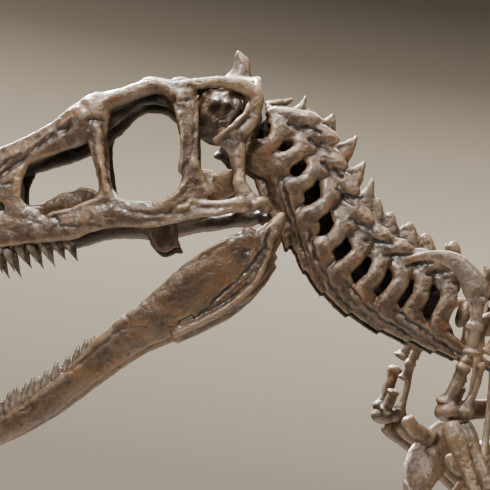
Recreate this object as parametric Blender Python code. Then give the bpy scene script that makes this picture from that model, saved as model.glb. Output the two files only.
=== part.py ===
"""Mounted skeleton of a small sickle-clawed theropod dinosaur on a flat museum base.

Metres, +Z up. The head faces -X and the animal's left side faces -Y. The origin is the
centre of the underside of the base. Bones are drawn as tapered lofts with named stations
in millimetres, fused by a voxel remesh and thinned to a light faceted solid.
"""
import math

import bmesh
import bpy
from mathutils import Matrix, Vector

# ---------------------------------------------------------------- driving dimensions
MM = 0.001
JAW_JOINT = Vector((-0.710, 0.0, 1.270))      # all upper-body stations are measured from here
GROUND = Vector((0.0, 0.0, 0.0))              # hind-limb stations are measured from here

BASE_LENGTH = 1.50
BASE_WIDTH = 0.62
BASE_HEIGHT = 0.060
BASE_BEVEL = 0.008

NECK_BONES = (
    # x and z of the centre, leans of the side pillar and of the spine in degrees, reach of the spine
    (11, 75, 50, 52, 66), (34, 60, 45, 48, 68), (48, 33, 47, 42, 78), (64, 3, 50, 47, 74),
    (79, -31, 52, 57, 81),
    (98, -55, 57, 67, 76), (121, -73, 63, 74, 75), (145, -86, 67, 76, 76), (170, -95, 73, 82, 71),
    (198, -106, 78, 79, 74))
NECK_END = ((229, -116), (268, -128))         # the neck's line carried on under the first ribs
FIRST_BLUNT = 5                               # spines before this one are hooked, the others blunt
NECK_RIB = ((-6, 27, 7), (24, 35, 5), (56, 43, 4), (88, 49, 3))   # reach, drop and radius along one neck rib
TRUNK_AXIS = ((231, -117), (330, -150), (440, -194), (560, -247), (650, -290))
TRUNK_COUNT = 13
TRUNK_LEAN = 68.0
SACRUM_AXIS = ((684, -304), (765, -330), (850, -343))
SACRUM_COUNT = 5
SACRUM_LEAN = 80.0
TAIL_AXIS = ((884, -347), (1100, -362), (1450, -372), (1900, -366), (2300, -350), (2650, -328))
TAIL_PARTS = (("tail_base", 0.0, 0.20), ("tail_middle", 0.20, 0.45),
              ("tail_rear", 0.45, 0.72), ("tail_tip", 0.72, 1.0))
TAIL_PITCH = 44.0                             # millimetres from one tail vertebra to the next
SPLIT_GAP = 3.0                               # millimetres between the two halves of the rib cage

RIB_LENGTHS = (120, 165, 212, 243, 258, 264, 260, 248, 228, 200, 165, 126, 88)

JAW_ROLL = 13.0                               # degrees that the sides of the lower jaw lean out
MAXILLA_TEETH = 15
DENTARY_TEETH = 17

BONE_COLOUR = (0.23, 0.16, 0.105, 1.0)
CLAW_COLOUR = (0.12, 0.095, 0.075, 1.0)
BASE_COLOUR = (0.045, 0.042, 0.040, 1.0)

AXIS_SAMPLES = 200                            # steps used to measure an axis curve
AXIS_STATIONS = 24                            # equal steps that stand for it afterwards
CRUMB_FACES = 12                              # a loose shell up to this size is a leftover of thinning
THINNING_ATTEMPTS = 12
THINNING_STEP = 0.03                          # how much finer each new attempt at thinning is
SIDES = 8                                     # corners of one loft section
SPAN_STEPS = 3                                # sections between two stations
CENTRE, LEFT, RIGHT = 0, -1, 1
ACROSS = Vector((0.0, 1.0, 0.0))
ALONG = Vector((1.0, 0.0, 0.0))


# ---------------------------------------------------------------- curves and lofts
def blend(points, t):
    """Value at 0..1 on a smooth curve through equally spaced points of any length."""
    last = len(points) - 1
    place = min(max(t, 0.0), 1.0) * last
    index = min(int(place), last - 1)
    f = place - index
    p0 = points[max(index - 1, 0)]
    p1 = points[index]
    p2 = points[index + 1]
    p3 = points[min(index + 2, last)]
    result = []
    for a, b, c, d in zip(p0, p1, p2, p3):
        slope_in = (c - a) / 2
        slope_out = (d - b) / 2
        result.append((2 * f**3 - 3 * f**2 + 1) * b + (f**3 - 2 * f**2 + f) * slope_in
                      + (3 * f**2 - 2 * f**3) * c + (f**3 - f**2) * slope_out)
    return result


def evenly(axis):
    """The same axis curve resampled at equal distances, so that a share of it is a share of its length."""
    fine = [blend(axis, i / AXIS_SAMPLES) for i in range(AXIS_SAMPLES + 1)]
    lengths = [0.0]
    for (x0, z0), (x1, z1) in zip(fine, fine[1:]):
        lengths.append(lengths[-1] + math.hypot(x1 - x0, z1 - z0))
    result = []
    index = 0
    for i in range(AXIS_STATIONS + 1):
        wanted = lengths[-1] * i / AXIS_STATIONS
        while index < AXIS_SAMPLES - 1 and lengths[index + 1] < wanted:
            index += 1
        share = (wanted - lengths[index]) / (lengths[index + 1] - lengths[index])
        (x0, z0), (x1, z1) = fine[index], fine[index + 1]
        result.append((x0 + (x1 - x0) * share, z0 + (z1 - z0) * share))
    return tuple(result)


def axis_point(axis, t):
    """Point on an axis curve of (x, z) pairs, as a vector in the middle plane."""
    x, z = blend(axis, t)
    return Vector((x, 0.0, z))


def axis_tangent(axis, t):
    """Unit direction of an axis curve towards the tail."""
    step = 0.01
    return (axis_point(axis, min(t + step, 1.0)) - axis_point(axis, max(t - step, 0.0))).normalized()


def lean_direction(degrees):
    """Unit vector in the middle plane, degrees above the +X direction."""
    return Vector((math.cos(math.radians(degrees)), 0.0, math.sin(math.radians(degrees))))


def loft(mesh, stations, origin=JAW_JOINT, side=CENTRE, flat=ACROSS, steps=SPAN_STEPS, roll=0.0):
    """Closed tapered solid through stations (x, y, z, half_height, half_width), in millimetres.

    The half width lies along flat and the half height square to it and to the path.
    A side of -1 or 1 puts the loft on that side of the middle plane. A roll in degrees
    leans the top of a plate outwards.
    """
    turn = side if side else 1
    if roll:
        flat = Vector((0.0, math.cos(math.radians(roll)), -turn * math.sin(math.radians(roll))))
    count = (len(stations) - 1) * steps
    rows = [blend(stations, i / count) for i in range(count + 1)]
    centres = [Vector((x, y * turn, z)) for x, y, z, _, _ in rows]
    rings = []
    for i, (_, _, _, high, wide) in enumerate(rows):
        path = centres[min(i + 1, count)] - centres[max(i - 1, 0)]
        path.normalize()
        across = (flat - path * flat.dot(path)).normalized()
        up = path.cross(across)
        ring = []
        for k in range(SIDES):
            angle = 2 * math.pi * k / SIDES
            point = centres[i] + across * (wide * math.cos(angle)) + up * (high * math.sin(angle))
            ring.append(mesh.verts.new(origin + point * MM))
        rings.append(ring)
    for lower, upper in zip(rings, rings[1:]):
        for k in range(SIDES):
            after = (k + 1) % SIDES
            mesh.faces.new((lower[k], lower[after], upper[after], upper[k]))
    mesh.faces.new(tuple(reversed(rings[0])))
    mesh.faces.new(tuple(rings[-1]))


def paired(mesh, stations, **options):
    """The same loft on the left and on the right."""
    for side in (LEFT, RIGHT):
        loft(mesh, stations, side=side, **options)


def lump(mesh, centre, radii, origin=JAW_JOINT):
    """An ellipsoid, centre and radii in millimetres."""
    place = Matrix.Translation(origin + Vector(centre) * MM)
    size = Matrix.Diagonal((radii[0] * MM, radii[1] * MM, radii[2] * MM, 1.0))
    bmesh.ops.create_icosphere(mesh, subdivisions=2, radius=1.0, matrix=place @ size)


def spike(mesh, root, tip, radius, origin=JAW_JOINT):
    """A three-sided cone from root to tip, in millimetres."""
    direction = (Vector(tip) - Vector(root))
    middle = origin + (Vector(root) + direction / 2) * MM
    turn = direction.to_track_quat("Z", "Y").to_matrix().to_4x4()
    bmesh.ops.create_cone(mesh, cap_ends=True, segments=3, radius1=radius * MM, radius2=0.0,
                          depth=direction.length * MM, matrix=Matrix.Translation(middle) @ turn)


TRUNK_PATH = evenly(TRUNK_AXIS)
SACRUM_PATH = evenly(SACRUM_AXIS)
TAIL_PATH = evenly(TAIL_AXIS)


# ---------------------------------------------------------------- objects
def material(name, colour, roughness, metallic=0.0):
    """A Principled material with the part's own colour."""
    made = bpy.data.materials.new(name)
    made.use_nodes = True
    shader = made.node_tree.nodes["Principled BSDF"]
    shader.inputs["Base Color"].default_value = colour
    shader.inputs["Roughness"].default_value = roughness
    shader.inputs["Metallic"].default_value = metallic
    return made


def add_object(name, mesh, finish):
    """Turn a bmesh into a named object with outward faces."""
    bmesh.ops.recalc_face_normals(mesh, faces=mesh.faces)
    data = bpy.data.meshes.new(name)
    mesh.to_mesh(data)
    mesh.free()
    data.materials.append(finish)
    made = bpy.data.objects.new(name, data)
    bpy.context.scene.collection.objects.link(made)
    return made


def evaluated_triangles(target):
    """Number of triangles of an object with its modifiers."""
    graph = bpy.context.evaluated_depsgraph_get()
    mesh = target.evaluated_get(graph).to_mesh()
    mesh.calc_loop_triangles()
    return len(mesh.loop_triangles)


def bake_modifiers(target):
    """Replace an object's mesh by the one that its modifiers give."""
    graph = bpy.context.evaluated_depsgraph_get()
    baked = bpy.data.meshes.new_from_object(target.evaluated_get(graph), depsgraph=graph)
    target.modifiers.clear()
    target.data = baked


def shells_of(mesh):
    """Lists of faces that hang together, the smallest first."""
    waiting = set(mesh.faces)
    shells = []
    while waiting:
        front = [waiting.pop()]
        shell = list(front)
        while front:
            for edge in front.pop().edges:
                for face in edge.link_faces:
                    if face in waiting:
                        waiting.remove(face)
                        front.append(face)
                        shell.append(face)
        shells.append(shell)
    return sorted(shells, key=len)


def tidy_shell(target):
    """Drop crumbs beside the main body, and tell whether one closed body is left."""
    mesh = bmesh.new()
    mesh.from_mesh(target.data)
    shells = shells_of(mesh)
    for shell in shells[:-1]:
        if len(shell) <= CRUMB_FACES:
            bmesh.ops.delete(mesh, geom=shell, context="FACES")
    whole = len(shells_of(mesh)) == 1 and all(len(edge.link_faces) == 2 for edge in mesh.edges)
    pinched = any(len(shells_around(vertex)) > 1 for vertex in mesh.verts)
    mesh.to_mesh(target.data)
    mesh.free()
    return whole and not pinched


def shells_around(vertex):
    """Groups of faces round a vertex that share edges there; more than one is a pinch."""
    waiting = set(vertex.link_faces)
    groups = []
    while waiting:
        front = [waiting.pop()]
        group = list(front)
        while front:
            for edge in front.pop().edges:
                if vertex in edge.verts:
                    for face in edge.link_faces:
                        if face in waiting:
                            waiting.remove(face)
                            front.append(face)
                            group.append(face)
        groups.append(group)
    return groups


def add_remesh(target, voxel):
    """Voxel remesh, which fuses shells that overlap; voxel size in millimetres."""
    remesh = target.modifiers.new("Fuse", "REMESH")
    remesh.mode = "VOXEL"
    remesh.voxel_size = voxel * MM


def fuse(name, mesh, finish, voxel, triangles, cutter=None, operation="DIFFERENCE"):
    """Fuse overlapping lofts into one closed solid of about the given number of triangles.

    A cutter is a bmesh that is cut away from, or kept of, the fused solid before it is thinned.
    """
    made = add_object(name, mesh, finish)
    add_remesh(made, voxel)
    if cutter:
        bake_modifiers(made)
        boolean(made, add_object(name + "_cutter", cutter, finish), operation)
        add_remesh(made, voxel)
    bake_modifiers(made)
    full = made.data
    found = evaluated_triangles(made)
    for attempt in range(THINNING_ATTEMPTS):
        made.data = full
        thin = made.modifiers.new("Thin", "DECIMATE")
        thin.use_collapse_triangulate = True
        thin.ratio = min(1.0, triangles * (1 + THINNING_STEP * attempt) / found)
        bake_modifiers(made)
        if tidy_shell(made):
            return made
    raise ValueError(name + " can't be thinned without pinching it")


def boolean(target, tool, operation):
    """Add or cut with another object, which is removed afterwards."""
    cut = target.modifiers.new(operation.title(), "BOOLEAN")
    cut.operation = operation
    cut.solver = "EXACT"
    cut.object = tool
    bake_modifiers(target)
    bpy.data.objects.remove(tool)


# ---------------------------------------------------------------- head
def snout_half_width(x):
    """Half width of the jaws, by distance from the jaw joint along the skull."""
    return blend(((8,), (27,), (38,), (48,), (56,), (58,)), (x + 405) / 405)[0]


def build_skull(finish):
    """Skull with its openings, palate, braincase and upper teeth."""
    mesh = bmesh.new()
    # snout, solid in front of the antorbital opening
    loft(mesh, ((-403, 0, -40, 15, 8), (-388, 0, -27, 31, 14), (-360, 0, -15, 42, 20),
                (-325, 0, -5, 47, 25), (-292, 0, 4, 50, 30), (-274, 0, 4, 44, 30)))
    paired(mesh, ((-330, 24, -6, 44, 6), (-300, 31, 4, 50, 5.5), (-275, 35, 6, 48, 5), (-266, 36, 5, 40, 5)))
    # roof from nostrils to parietals
    loft(mesh, ((-400, 0, -30, 9, 8), (-385, 0, 0, 8, 14), (-355, 0, 27, 7, 19), (-320, 0, 46, 7, 23),
                (-287, 0, 54, 7, 27), (-250, 0, 68, 7, 30), (-222, 0, 85, 7, 34), (-198, 0, 105, 8, 40),
                (-176, 0, 114, 8, 43), (-150, 0, 123, 7, 41), (-122, 0, 137, 7, 42), (-104, 0, 136, 7, 46),
                (-78, 0, 140, 7, 34), (-55, 0, 142, 7, 20), (-32, 0, 145, 7, 26), (-12, 0, 138, 8, 42)))
    # nasal and lacrimal margin over the antorbital opening
    paired(mesh, ((-285, 32, 50, 10, 5), (-250, 36, 62, 12, 6), (-225, 39, 74, 16, 7),
                  (-204, 42, 86, 20, 8), (-188, 44, 98, 20, 9)))
    # lacrimal bar
    paired(mesh, ((-180, 44, 114, 18, 9), (-181, 45, 92, 17, 8), (-180, 45, 70, 13, 7), (-175, 46, 46, 9, 6),
                  (-172, 47, 26, 7.5, 6), (-171, 47, 8, 12, 6), (-170, 47, -4, 18, 5)))
    # brow over the orbit
    paired(mesh, ((-188, 42, 110, 12, 10), (-160, 42, 119, 10, 10), (-138, 42, 127, 9, 10),
                  (-118, 45, 133, 9, 10), (-100, 50, 128, 11, 9), (-85, 54, 116, 13, 8)))
    # inner wall of the roof, seen through the orbit
    paired(mesh, ((-184, 34, 96, 20, 4), (-165, 30, 106, 16, 4), (-146, 26, 118, 11, 4),
                  (-128, 24, 125, 10, 4),
                  (-104, 28, 123, 11, 4), (-86, 38, 114, 14, 5)))
    # postorbital bar
    paired(mesh, ((-84, 54, 122, 13, 8), (-81, 55, 106, 13, 7), (-78, 56, 85, 10, 6), (-77, 56, 64, 8.5, 6),
                  (-77, 57, 44, 9, 6), (-76, 57, 24, 11, 5.5), (-74, 57, 8, 14, 5)))
    # upper temporal bar, turning down into the squamosal
    paired(mesh, ((-92, 53, 128, 9, 7), (-70, 55, 133, 8, 6), (-45, 54, 134, 7.5, 6), (-22, 53, 131, 8.5, 6),
                  (-8, 52, 121, 9.5, 6), (-8, 52, 104, 8, 6), (-13, 52, 88, 7, 6), (-24, 51, 76, 7, 6)))
    paired(mesh, ((-14, 53, 114, 4, 4), (-22, 54, 98, 4, 4), (-33, 55, 87, 4, 4), (-45, 54, 78, 4, 4),
                  (-50, 50, 68, 6, 5)))
    # quadrate and quadratojugal
    paired(mesh, ((-30, 50, 78, 9, 8), (-26, 51, 60, 9, 7), (-25, 53, 42, 7, 6.5), (-24, 55, 22, 8, 7),
                  (-17, 55, 6, 10, 8), (-6, 54, -2, 8, 12)))
    paired(mesh, ((-50, 46, 70, 6, 5), (-44, 47, 60, 7, 5), (-30, 49, 52, 7, 5)))
    # upper jaw, jugal and quadratojugal bar
    paired(mesh, ((-292, 32, -20, 25, 6), (-262, 36, -20, 22, 6), (-235, 39, -24, 15, 7),
                  (-208, 42, -21, 15, 8),
                  (-180, 46, -12, 15, 8), (-150, 49, -8, 15, 8), (-118, 53, -10, 15, 7),
                  (-90, 56, -4, 14, 7),
                  (-64, 58, -4, 10, 6), (-40, 58, -3, 9, 6), (-20, 57, 1, 9, 7), (-8, 55, -2, 8, 8)))
    # palate: pterygoids with their flanges, and palatines
    paired(mesh, ((-24, 50, 32, 12, 4), (-45, 36, 18, 12, 4), (-70, 24, 4, 11, 4), (-100, 20, -6, 8, 5),
                  (-150, 14, -4, 7, 5), (-205, 12, 0, 7, 5), (-272, 12, 0, 7, 5)))
    paired(mesh, ((-112, 24, -6, 19, 5), (-110, 25, -24, 18, 4.5), (-106, 25, -38, 14, 4),
                  (-103, 25, -46, 8, 4)))
    paired(mesh, ((-72, 26, 24, 12, 4), (-62, 28, 25, 18, 4), (-50, 31, 22, 13, 4), (-34, 38, 28, 15, 4)))
    paired(mesh, ((-236, 14, 3, 7, 5), (-215, 20, 9, 11, 5), (-192, 26, 11, 11, 5), (-176, 40, 4, 9, 6)))
    # braincase, back of the head and its wings
    lump(mesh, (-46, 0, 108), (35, 28, 31))
    lump(mesh, (-44, 0, 90), (28, 16, 16))
    loft(mesh, ((-14, 0, 146, 7, 34), (-13, 0, 125, 7, 40), (-12, 0, 105, 8, 38), (-12, 0, 85, 9, 30),
                (-16, 0, 66, 8, 18)))
    paired(mesh, ((-14, 18, 98, 9, 6), (-12, 36, 94, 9, 5), (-12, 50, 86, 8, 5)), flat=ALONG)
    loft(mesh, ((-26, 0, 142, 19, 9), (-22, 0, 153, 12, 7), (-20, 0, 164, 8, 5), (-22, 0, 174, 5.5, 4),
                (-27, 0, 181, 3, 3)))
    holes = bmesh.new()
    loft(holes, ((-292, -60, 4, 9, 11), (-292, 0, 4, 9, 11), (-292, 60, 4, 9, 11)), flat=ALONG)
    loft(holes, ((-368, -60, 6, 8, 15), (-368, 0, 6, 8, 15), (-368, 60, 6, 8, 15)), flat=ALONG)
    skull = fuse("skull", mesh, finish, 2.6, 1180, holes)
    teeth = bmesh.new()
    for side in (LEFT, RIGHT):
        for i in range(MAXILLA_TEETH):
            x = -396 + i * 12.9
            root_z = blend(((-61,), (-56,), (-45,), (-36,)), (x + 400) / 195)[0]
            length = 14 + 13 * math.sin(math.pi * min((i + 2.5) / MAXILLA_TEETH, 1.0))
            y = side * (snout_half_width(x) - 4) * (0.8 if x < -300 else 1.0)
            spike(teeth, (x, y * 0.96, root_z + 15), (x + 3, y, root_z - length), 4.8)
    boolean(skull, add_object("tooth_row", teeth, finish), "UNION")


def build_jaw(finish):
    """Lower jaw, held open, with its teeth."""
    mesh = bmesh.new()
    paired(mesh, ((2, 48, -40, 23, 8), (-22, 47, -61, 32, 7), (-48, 46, -77, 33, 7), (-67, 46, -90, 31, 7),
                  (-100, 43, -115, 26, 7), (-135, 40, -134, 22, 7), (-171, 35, -160, 19, 7),
                  (-197, 30, -183, 16, 7),
                  (-240, 23, -216, 15, 7), (-276, 16, -237, 14, 7), (-304, 10, -251, 12, 7),
                  (-322, 5, -258, 8, 6)),
           roll=JAW_ROLL)
    paired(mesh, ((0, 51, -40, 14, 8), (10, 51, -28, 11, 8), (18, 50, -17, 8, 7), (22, 50, -9, 4, 5)))
    paired(mesh, ((-14, 51, -36, 9, 6), (-17, 51, -24, 5, 5)))
    loft(mesh, ((-330, 0, -262, 8, 7), (-306, 0, -252, 9, 12), (-286, 0, -246, 6, 15)))
    holes = bmesh.new()
    loft(holes, ((-82, -70, -124, 3, 10), (-82, 0, -124, 3, 10), (-82, 70, -124, 3, 10)),
         flat=Vector((0.9, 0, 0.4)))
    jaw = fuse("lower_jaw", mesh, finish, 2.6, 480, holes)
    teeth = bmesh.new()
    line = ((-316, 7, -246), (-276, 18, -222), (-240, 26, -198), (-187, 34, -155))
    for side in (LEFT, RIGHT):
        for i in range(DENTARY_TEETH):
            x, y, z = blend(line, i / (DENTARY_TEETH - 1))
            length = 12 + 7 * math.sin(math.pi * (i + 1) / (DENTARY_TEETH + 1))
            spike(teeth, (x + 4, side * y, z - 8), (x - 1, side * y, z + length + 3), 3.6)
    boolean(jaw, add_object("tooth_row", teeth, finish), "UNION")


# ---------------------------------------------------------------- backbone
def station(point, lateral, high, wide):
    """A loft station from a point in the middle plane and a lateral distance."""
    return (point.x, lateral, point.z, high, wide)


def spool(mesh, centre, tangent, front, back, radius):
    """Body of one vertebra, waisted in its middle; front and back are its reach from the centre."""
    loft(mesh, (station(centre - tangent * front, 0, radius, radius),
                station(centre, 0, radius * 0.78, radius * 0.8),
                station(centre + tangent * back, 0, radius, radius)), steps=2)


def neck_line():
    """Centres of the neck vertebrae and of the first back ones."""
    return [Vector((x, 0, z)) for x, z, *_ in NECK_BONES] + [Vector((x, 0, z)) for x, z in NECK_END]


def neck_place(reach, drop):
    """Point below the neck's line, at a distance along it from the first vertebra."""
    line = neck_line()
    leans = [bone[2] for bone in NECK_BONES] + [NECK_BONES[-1][2]] * len(NECK_END)
    if reach < 0:
        return line[0] + (line[1] - line[0]).normalized() * reach - lean_direction(leans[0]) * drop
    for k, (start, end) in enumerate(zip(line, line[1:])):
        length = (end - start).length
        if reach <= length:
            break
        if k < len(line) - 2:
            reach -= length
    share = min(reach / length, 1.0)
    return start.lerp(end, share) - lean_direction(leans[k] + (leans[k + 1] - leans[k]) * share) * drop


def neck_vertebra(mesh, k):
    """Body, side pillars, joint plates and spine of one neck vertebra."""
    x, z, pillar, spine, reach = NECK_BONES[k]
    centre = Vector((x, 0, z))
    line = neck_line()
    back = (line[k + 1] - line[max(k - 1, 0)]).normalized()
    up = lean_direction(pillar)

    def at(height, along, lateral, high, wide):
        return station(centre + up * height + back * along, lateral, high, wide)

    paired(mesh, (at(-34, 1, 20, 13, 5), at(-20, -2, 26, 10, 6), at(-6, 0, 28, 8.5, 6), at(8, 2, 28, 8.5, 6),
                  at(24, -4, 24, 10, 6), at(36, -13, 20, 9, 6)), steps=2)
    paired(mesh, (at(-20, 0, 6, 9, 7), at(-22, 0, 25, 7, 5)), flat=up)
    end = 12 if k == len(NECK_BONES) - 1 else 24
    paired(mesh, (at(36, -25, 19, 6, 5), at(39, -8, 22, 8, 5.5), at(42, end, 22, 4.5, 4.5)))
    loft(mesh, (at(0, 0, 0, 15, 13), at(34, 0, 0, 16, 13), at(48, 0, 0, 14, 6)))
    if k:
        base = centre + up * 40
        tip = centre + lean_direction(spine) * reach
        if k < FIRST_BLUNT:
            loft(mesh, (station(base, 0, 19, 7), station(base.lerp(tip, 0.42) + back * 6, 0, 10, 4.5),
                        station(base.lerp(tip, 0.8) + back * 3, 0, 4.5, 3.5), station(tip, 0, 2.4, 2.4)))
        else:
            loft(mesh, (station(base, 0, 14, 8), station(base.lerp(tip, 0.45), 0, 10, 5),
                        station(base.lerp(tip, 0.85), 0, 7.5, 4), station(tip, 0, 4, 3)))


def build_neck(finish):
    """Ten neck vertebrae with spines, side pillars, overlapping joint plates and long slender ribs."""
    mesh = bmesh.new()
    loft(mesh, [(x, 0, z, 20 + k / 2, 11) for k, (x, z, *_) in enumerate(NECK_BONES)], steps=2)
    loft(mesh, ((8, 0, 102, 8, 10), (10, 0, 80, 12, 13), (16, 0, 60, 13, 12)))
    loft(mesh, ((8, 0, 103, 8, 10), (30, 0, 108, 8, 7), (42, 0, 117, 5.5, 4), (49, 0, 130, 2.4, 2.4)))
    loft(mesh, ((6, 0, 119, 4.5, 11), (24, 0, 122, 4, 7), (33, 0, 126, 3, 3)))
    loft(mesh, ((12, 0, 106, 6, 5), (13, 0, 118, 6, 5)))
    paired(mesh, ((6, 17, 99, 5, 5), (22, 20, 99, 5, 5), (40, 20, 94, 5.5, 5)))
    walked = 0.0
    for k, (x, z, *_) in enumerate(NECK_BONES):
        if k:
            walked += math.hypot(x - NECK_BONES[k - 1][0], z - NECK_BONES[k - 1][1])
        neck_vertebra(mesh, k)
        rod = []
        for reach, drop, radius in NECK_RIB:
            rod.append(station(neck_place(walked + reach * (1.12 - 0.03 * k), drop), 27 - reach * 0.06,
                               radius, radius * 0.8))
        paired(mesh, rod)
    paired(mesh, ((-6, 14, 52, 7, 5), (4, 17, 26, 7, 5), (16, 20, 0, 5, 4), (27, 23, -40, 3, 3)))
    fuse("neck", mesh, finish, 2.6, 1340)


def build_rib_cage(finish):
    """Thirteen back vertebrae with their ribs, parted along the middle plane."""
    for side, name in ((LEFT, "rib_cage_left"), (RIGHT, "rib_cage_right")):
        mesh = bmesh.new()
        lean = lean_direction(TRUNK_LEAN)
        for k in range(TRUNK_COUNT):
            t = k / (TRUNK_COUNT - 1)
            centre = axis_point(TRUNK_PATH, t)
            tangent = axis_tangent(TRUNK_PATH, t)
            spool(mesh, centre, tangent, 23 if k else 13, 23 if k < TRUNK_COUNT - 1 else 13, 16)
            loft(mesh, (station(centre, 0, 11, 12), station(centre + lean * 28, 0, 11, 11)))
            loft(mesh, (station(centre + lean * 22, 0, 11, 5), station(centre + lean * 50, 0, 11, 4.5),
                        station(centre + lean * (72 if k else 60), 0, 10, 4.5)))
            loft(mesh, (station(centre + lean * 22, 6, 9, 6), station(centre + lean * 25, 24, 7, 5),
                        station(centre + lean * 24, 38, 7, 5)), side=side, flat=lean)
            length = RIB_LENGTHS[k]
            sweep = (1 - 0.7 * t) * length
            curve = ((0, 12, 2), (2, 36, 16), (0.05 * sweep, 38 + 0.20 * length, -0.10 * length),
                     (0.14 * sweep, 38 + 0.26 * length, -0.42 * length),
                     (0.22 * sweep, 38 + 0.18 * length, -0.78 * length),
                     (0.26 * sweep, 38 + 0.06 * length, -length))
            widths = (5, 6, 6.5, 6, 5, 4.5)
            rib = []
            for (back, out, up), wide in zip(curve, widths):
                place = centre + tangent * back + lean * up
                rib.append(station(place, out, wide, 3.6))
            loft(mesh, rib, side=side)
        keep = bmesh.new()
        bmesh.ops.create_cube(keep, size=1.0, matrix=Matrix.Translation(
            (JAW_JOINT.x + 0.45, side * (0.5 + SPLIT_GAP * MM / 2), JAW_JOINT.z - 0.25)))
        fuse(name, mesh, finish, 2.8, 650, keep, "INTERSECT")


def build_sacrum(finish):
    """Five fused hip vertebrae with a low ridge of joined spines and side struts."""
    mesh = bmesh.new()
    lean = lean_direction(SACRUM_LEAN)
    for k in range(SACRUM_COUNT):
        t = k / (SACRUM_COUNT - 1)
        centre = axis_point(SACRUM_PATH, t)
        tangent = axis_tangent(SACRUM_PATH, t)
        spool(mesh, centre, tangent, 22 if k else 12, 22 if k < SACRUM_COUNT - 1 else 13, 16)
        loft(mesh, (station(centre, 0, 14, 11), station(centre + lean * 30, 0, 18, 6),
                    station(centre + lean * 62, 0, 17, 4.5)))
        paired(mesh, (station(centre + lean * 8, 8, 9, 7), station(centre + lean * 10, 24, 7, 5),
                      station(centre + lean * 10, 36, 9, 6)), flat=lean)
    fuse("sacrum", mesh, finish, 3.0, 220)


def build_tail(finish):
    """Tail in four lengths, its rear half stiffened by long bony rods."""
    rough_length = (Vector(TAIL_PATH[-1]) - Vector(TAIL_PATH[0])).length
    total = int(rough_length / TAIL_PITCH)
    for name, start, end in TAIL_PARTS:
        mesh = bmesh.new()
        first = math.ceil(start * total)
        last = math.ceil(end * total)
        for k in range(first, last):
            t = k / total
            centre = axis_point(TAIL_PATH, t)
            tangent = axis_tangent(TAIL_PATH, t)
            lean = lean_direction(100)
            fade = 1 - t
            radius = 4.0 + 12.0 * fade
            front = TAIL_PITCH * (0.56 if k > first else 0.40)
            back = TAIL_PITCH * (0.56 if k < last - 1 else 0.40)
            spool(mesh, centre, tangent, front, back, radius)
            if t < 0.32:
                loft(mesh, (station(centre, 0, 9, 6), station(centre + lean * 30 * fade, 0, 8, 4),
                            station(centre + lean * 62 * fade + tangent * 6, 0, 7, 3.5)))
                loft(mesh, (station(centre + tangent * 12, 0, 6, 6),
                            station(centre - lean * 40 * fade + tangent * 24, 0, 6, 4),
                            station(centre - lean * 78 * fade + tangent * 38, 0, 6, 3.5)))
                paired(mesh, (station(centre + lean * 4, 6, 7, 6),
                              station(centre + lean * 4, 26 * fade, 6, 4),
                              station(centre + lean * 2 + tangent * 6, 52 * fade, 5, 3.5)), flat=lean)
        way = axis_tangent(TAIL_PATH, first / total)
        head_end = axis_point(TAIL_PATH, first / total) - way * TAIL_PITCH * 0.3
        tail_end = axis_point(TAIL_PATH, (last - 1) / total)
        tail_end += axis_tangent(TAIL_PATH, (last - 1) / total) * TAIL_PITCH * 0.3
        if end > 0.3:
            for drop in (1, -1):
                high = drop * (3.5 + 13 * (1 - start))
                low = drop * (3.5 + 13 * (1 - end))
                loft(mesh, ((head_end.x, 0, head_end.z + high, 4.5, 4 + 7 * (1 - start)),
                            (tail_end.x, 0, tail_end.z + low, 3.6, 3.2 + 5 * (1 - end))), steps=6)
        fuse(name, mesh, finish, 3.0, {"tail_base": 320, "tail_middle": 190}.get(name, 90))


# ---------------------------------------------------------------- hips
def build_hips(finish):
    """Hip blades, pubis with its foot, and ischium."""
    for side, name in ((LEFT, "ilium_left"), (RIGHT, "ilium_right")):
        mesh = bmesh.new()
        loft(mesh, ((672, 46, -308, 17, 4.5), (692, 48, -312, 31, 5), (722, 50, -322, 41, 5.5),
                    (760, 51, -330, 40, 6),
                    (800, 50, -334, 32, 5.5), (842, 49, -332, 22, 5), (884, 48, -330, 12, 4.5)), side=side)
        loft(mesh, ((735, 52, -352, 17, 7), (727, 53, -372, 14, 8), (722, 54, -390, 12, 8)), side=side)
        loft(mesh, ((790, 52, -350, 14, 7), (797, 53, -370, 11, 8), (800, 54, -388, 10, 8)), side=side)
        fuse(name, mesh, finish, 3.0, 130)
    mesh = bmesh.new()
    paired(mesh, ((722, 52, -407, 13, 8), (726, 42, -450, 9, 8), (737, 24, -540, 7, 8), (748, 9, -630, 7, 8),
                  (754, 4, -690, 10, 7)))
    loft(mesh, ((728, 0, -688, 8, 6), (760, 0, -700, 15, 7), (800, 0, -696, 9, 6), (822, 0, -690, 5, 5)))
    fuse("pubis", mesh, finish, 3.0, 160)
    mesh = bmesh.new()
    paired(mesh, ((800, 52, -404, 11, 8), (818, 44, -434, 9, 6), (850, 28, -490, 10, 5),
                  (885, 9, -556, 9, 6),
                  (896, 4, -574, 6, 6)))
    fuse("ischium", mesh, finish, 3.0, 110)


# ---------------------------------------------------------------- shoulder and arms
SHOULDER_SHIFT = {LEFT: Vector((0, 0, 0)), RIGHT: Vector((-34, 0, 42))}


def shifted(stations, move):
    """Stations moved by a vector, in millimetres."""
    return tuple((x + move.x, y + move.y, z + move.z, h, w) for x, y, z, h, w in stations)


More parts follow.
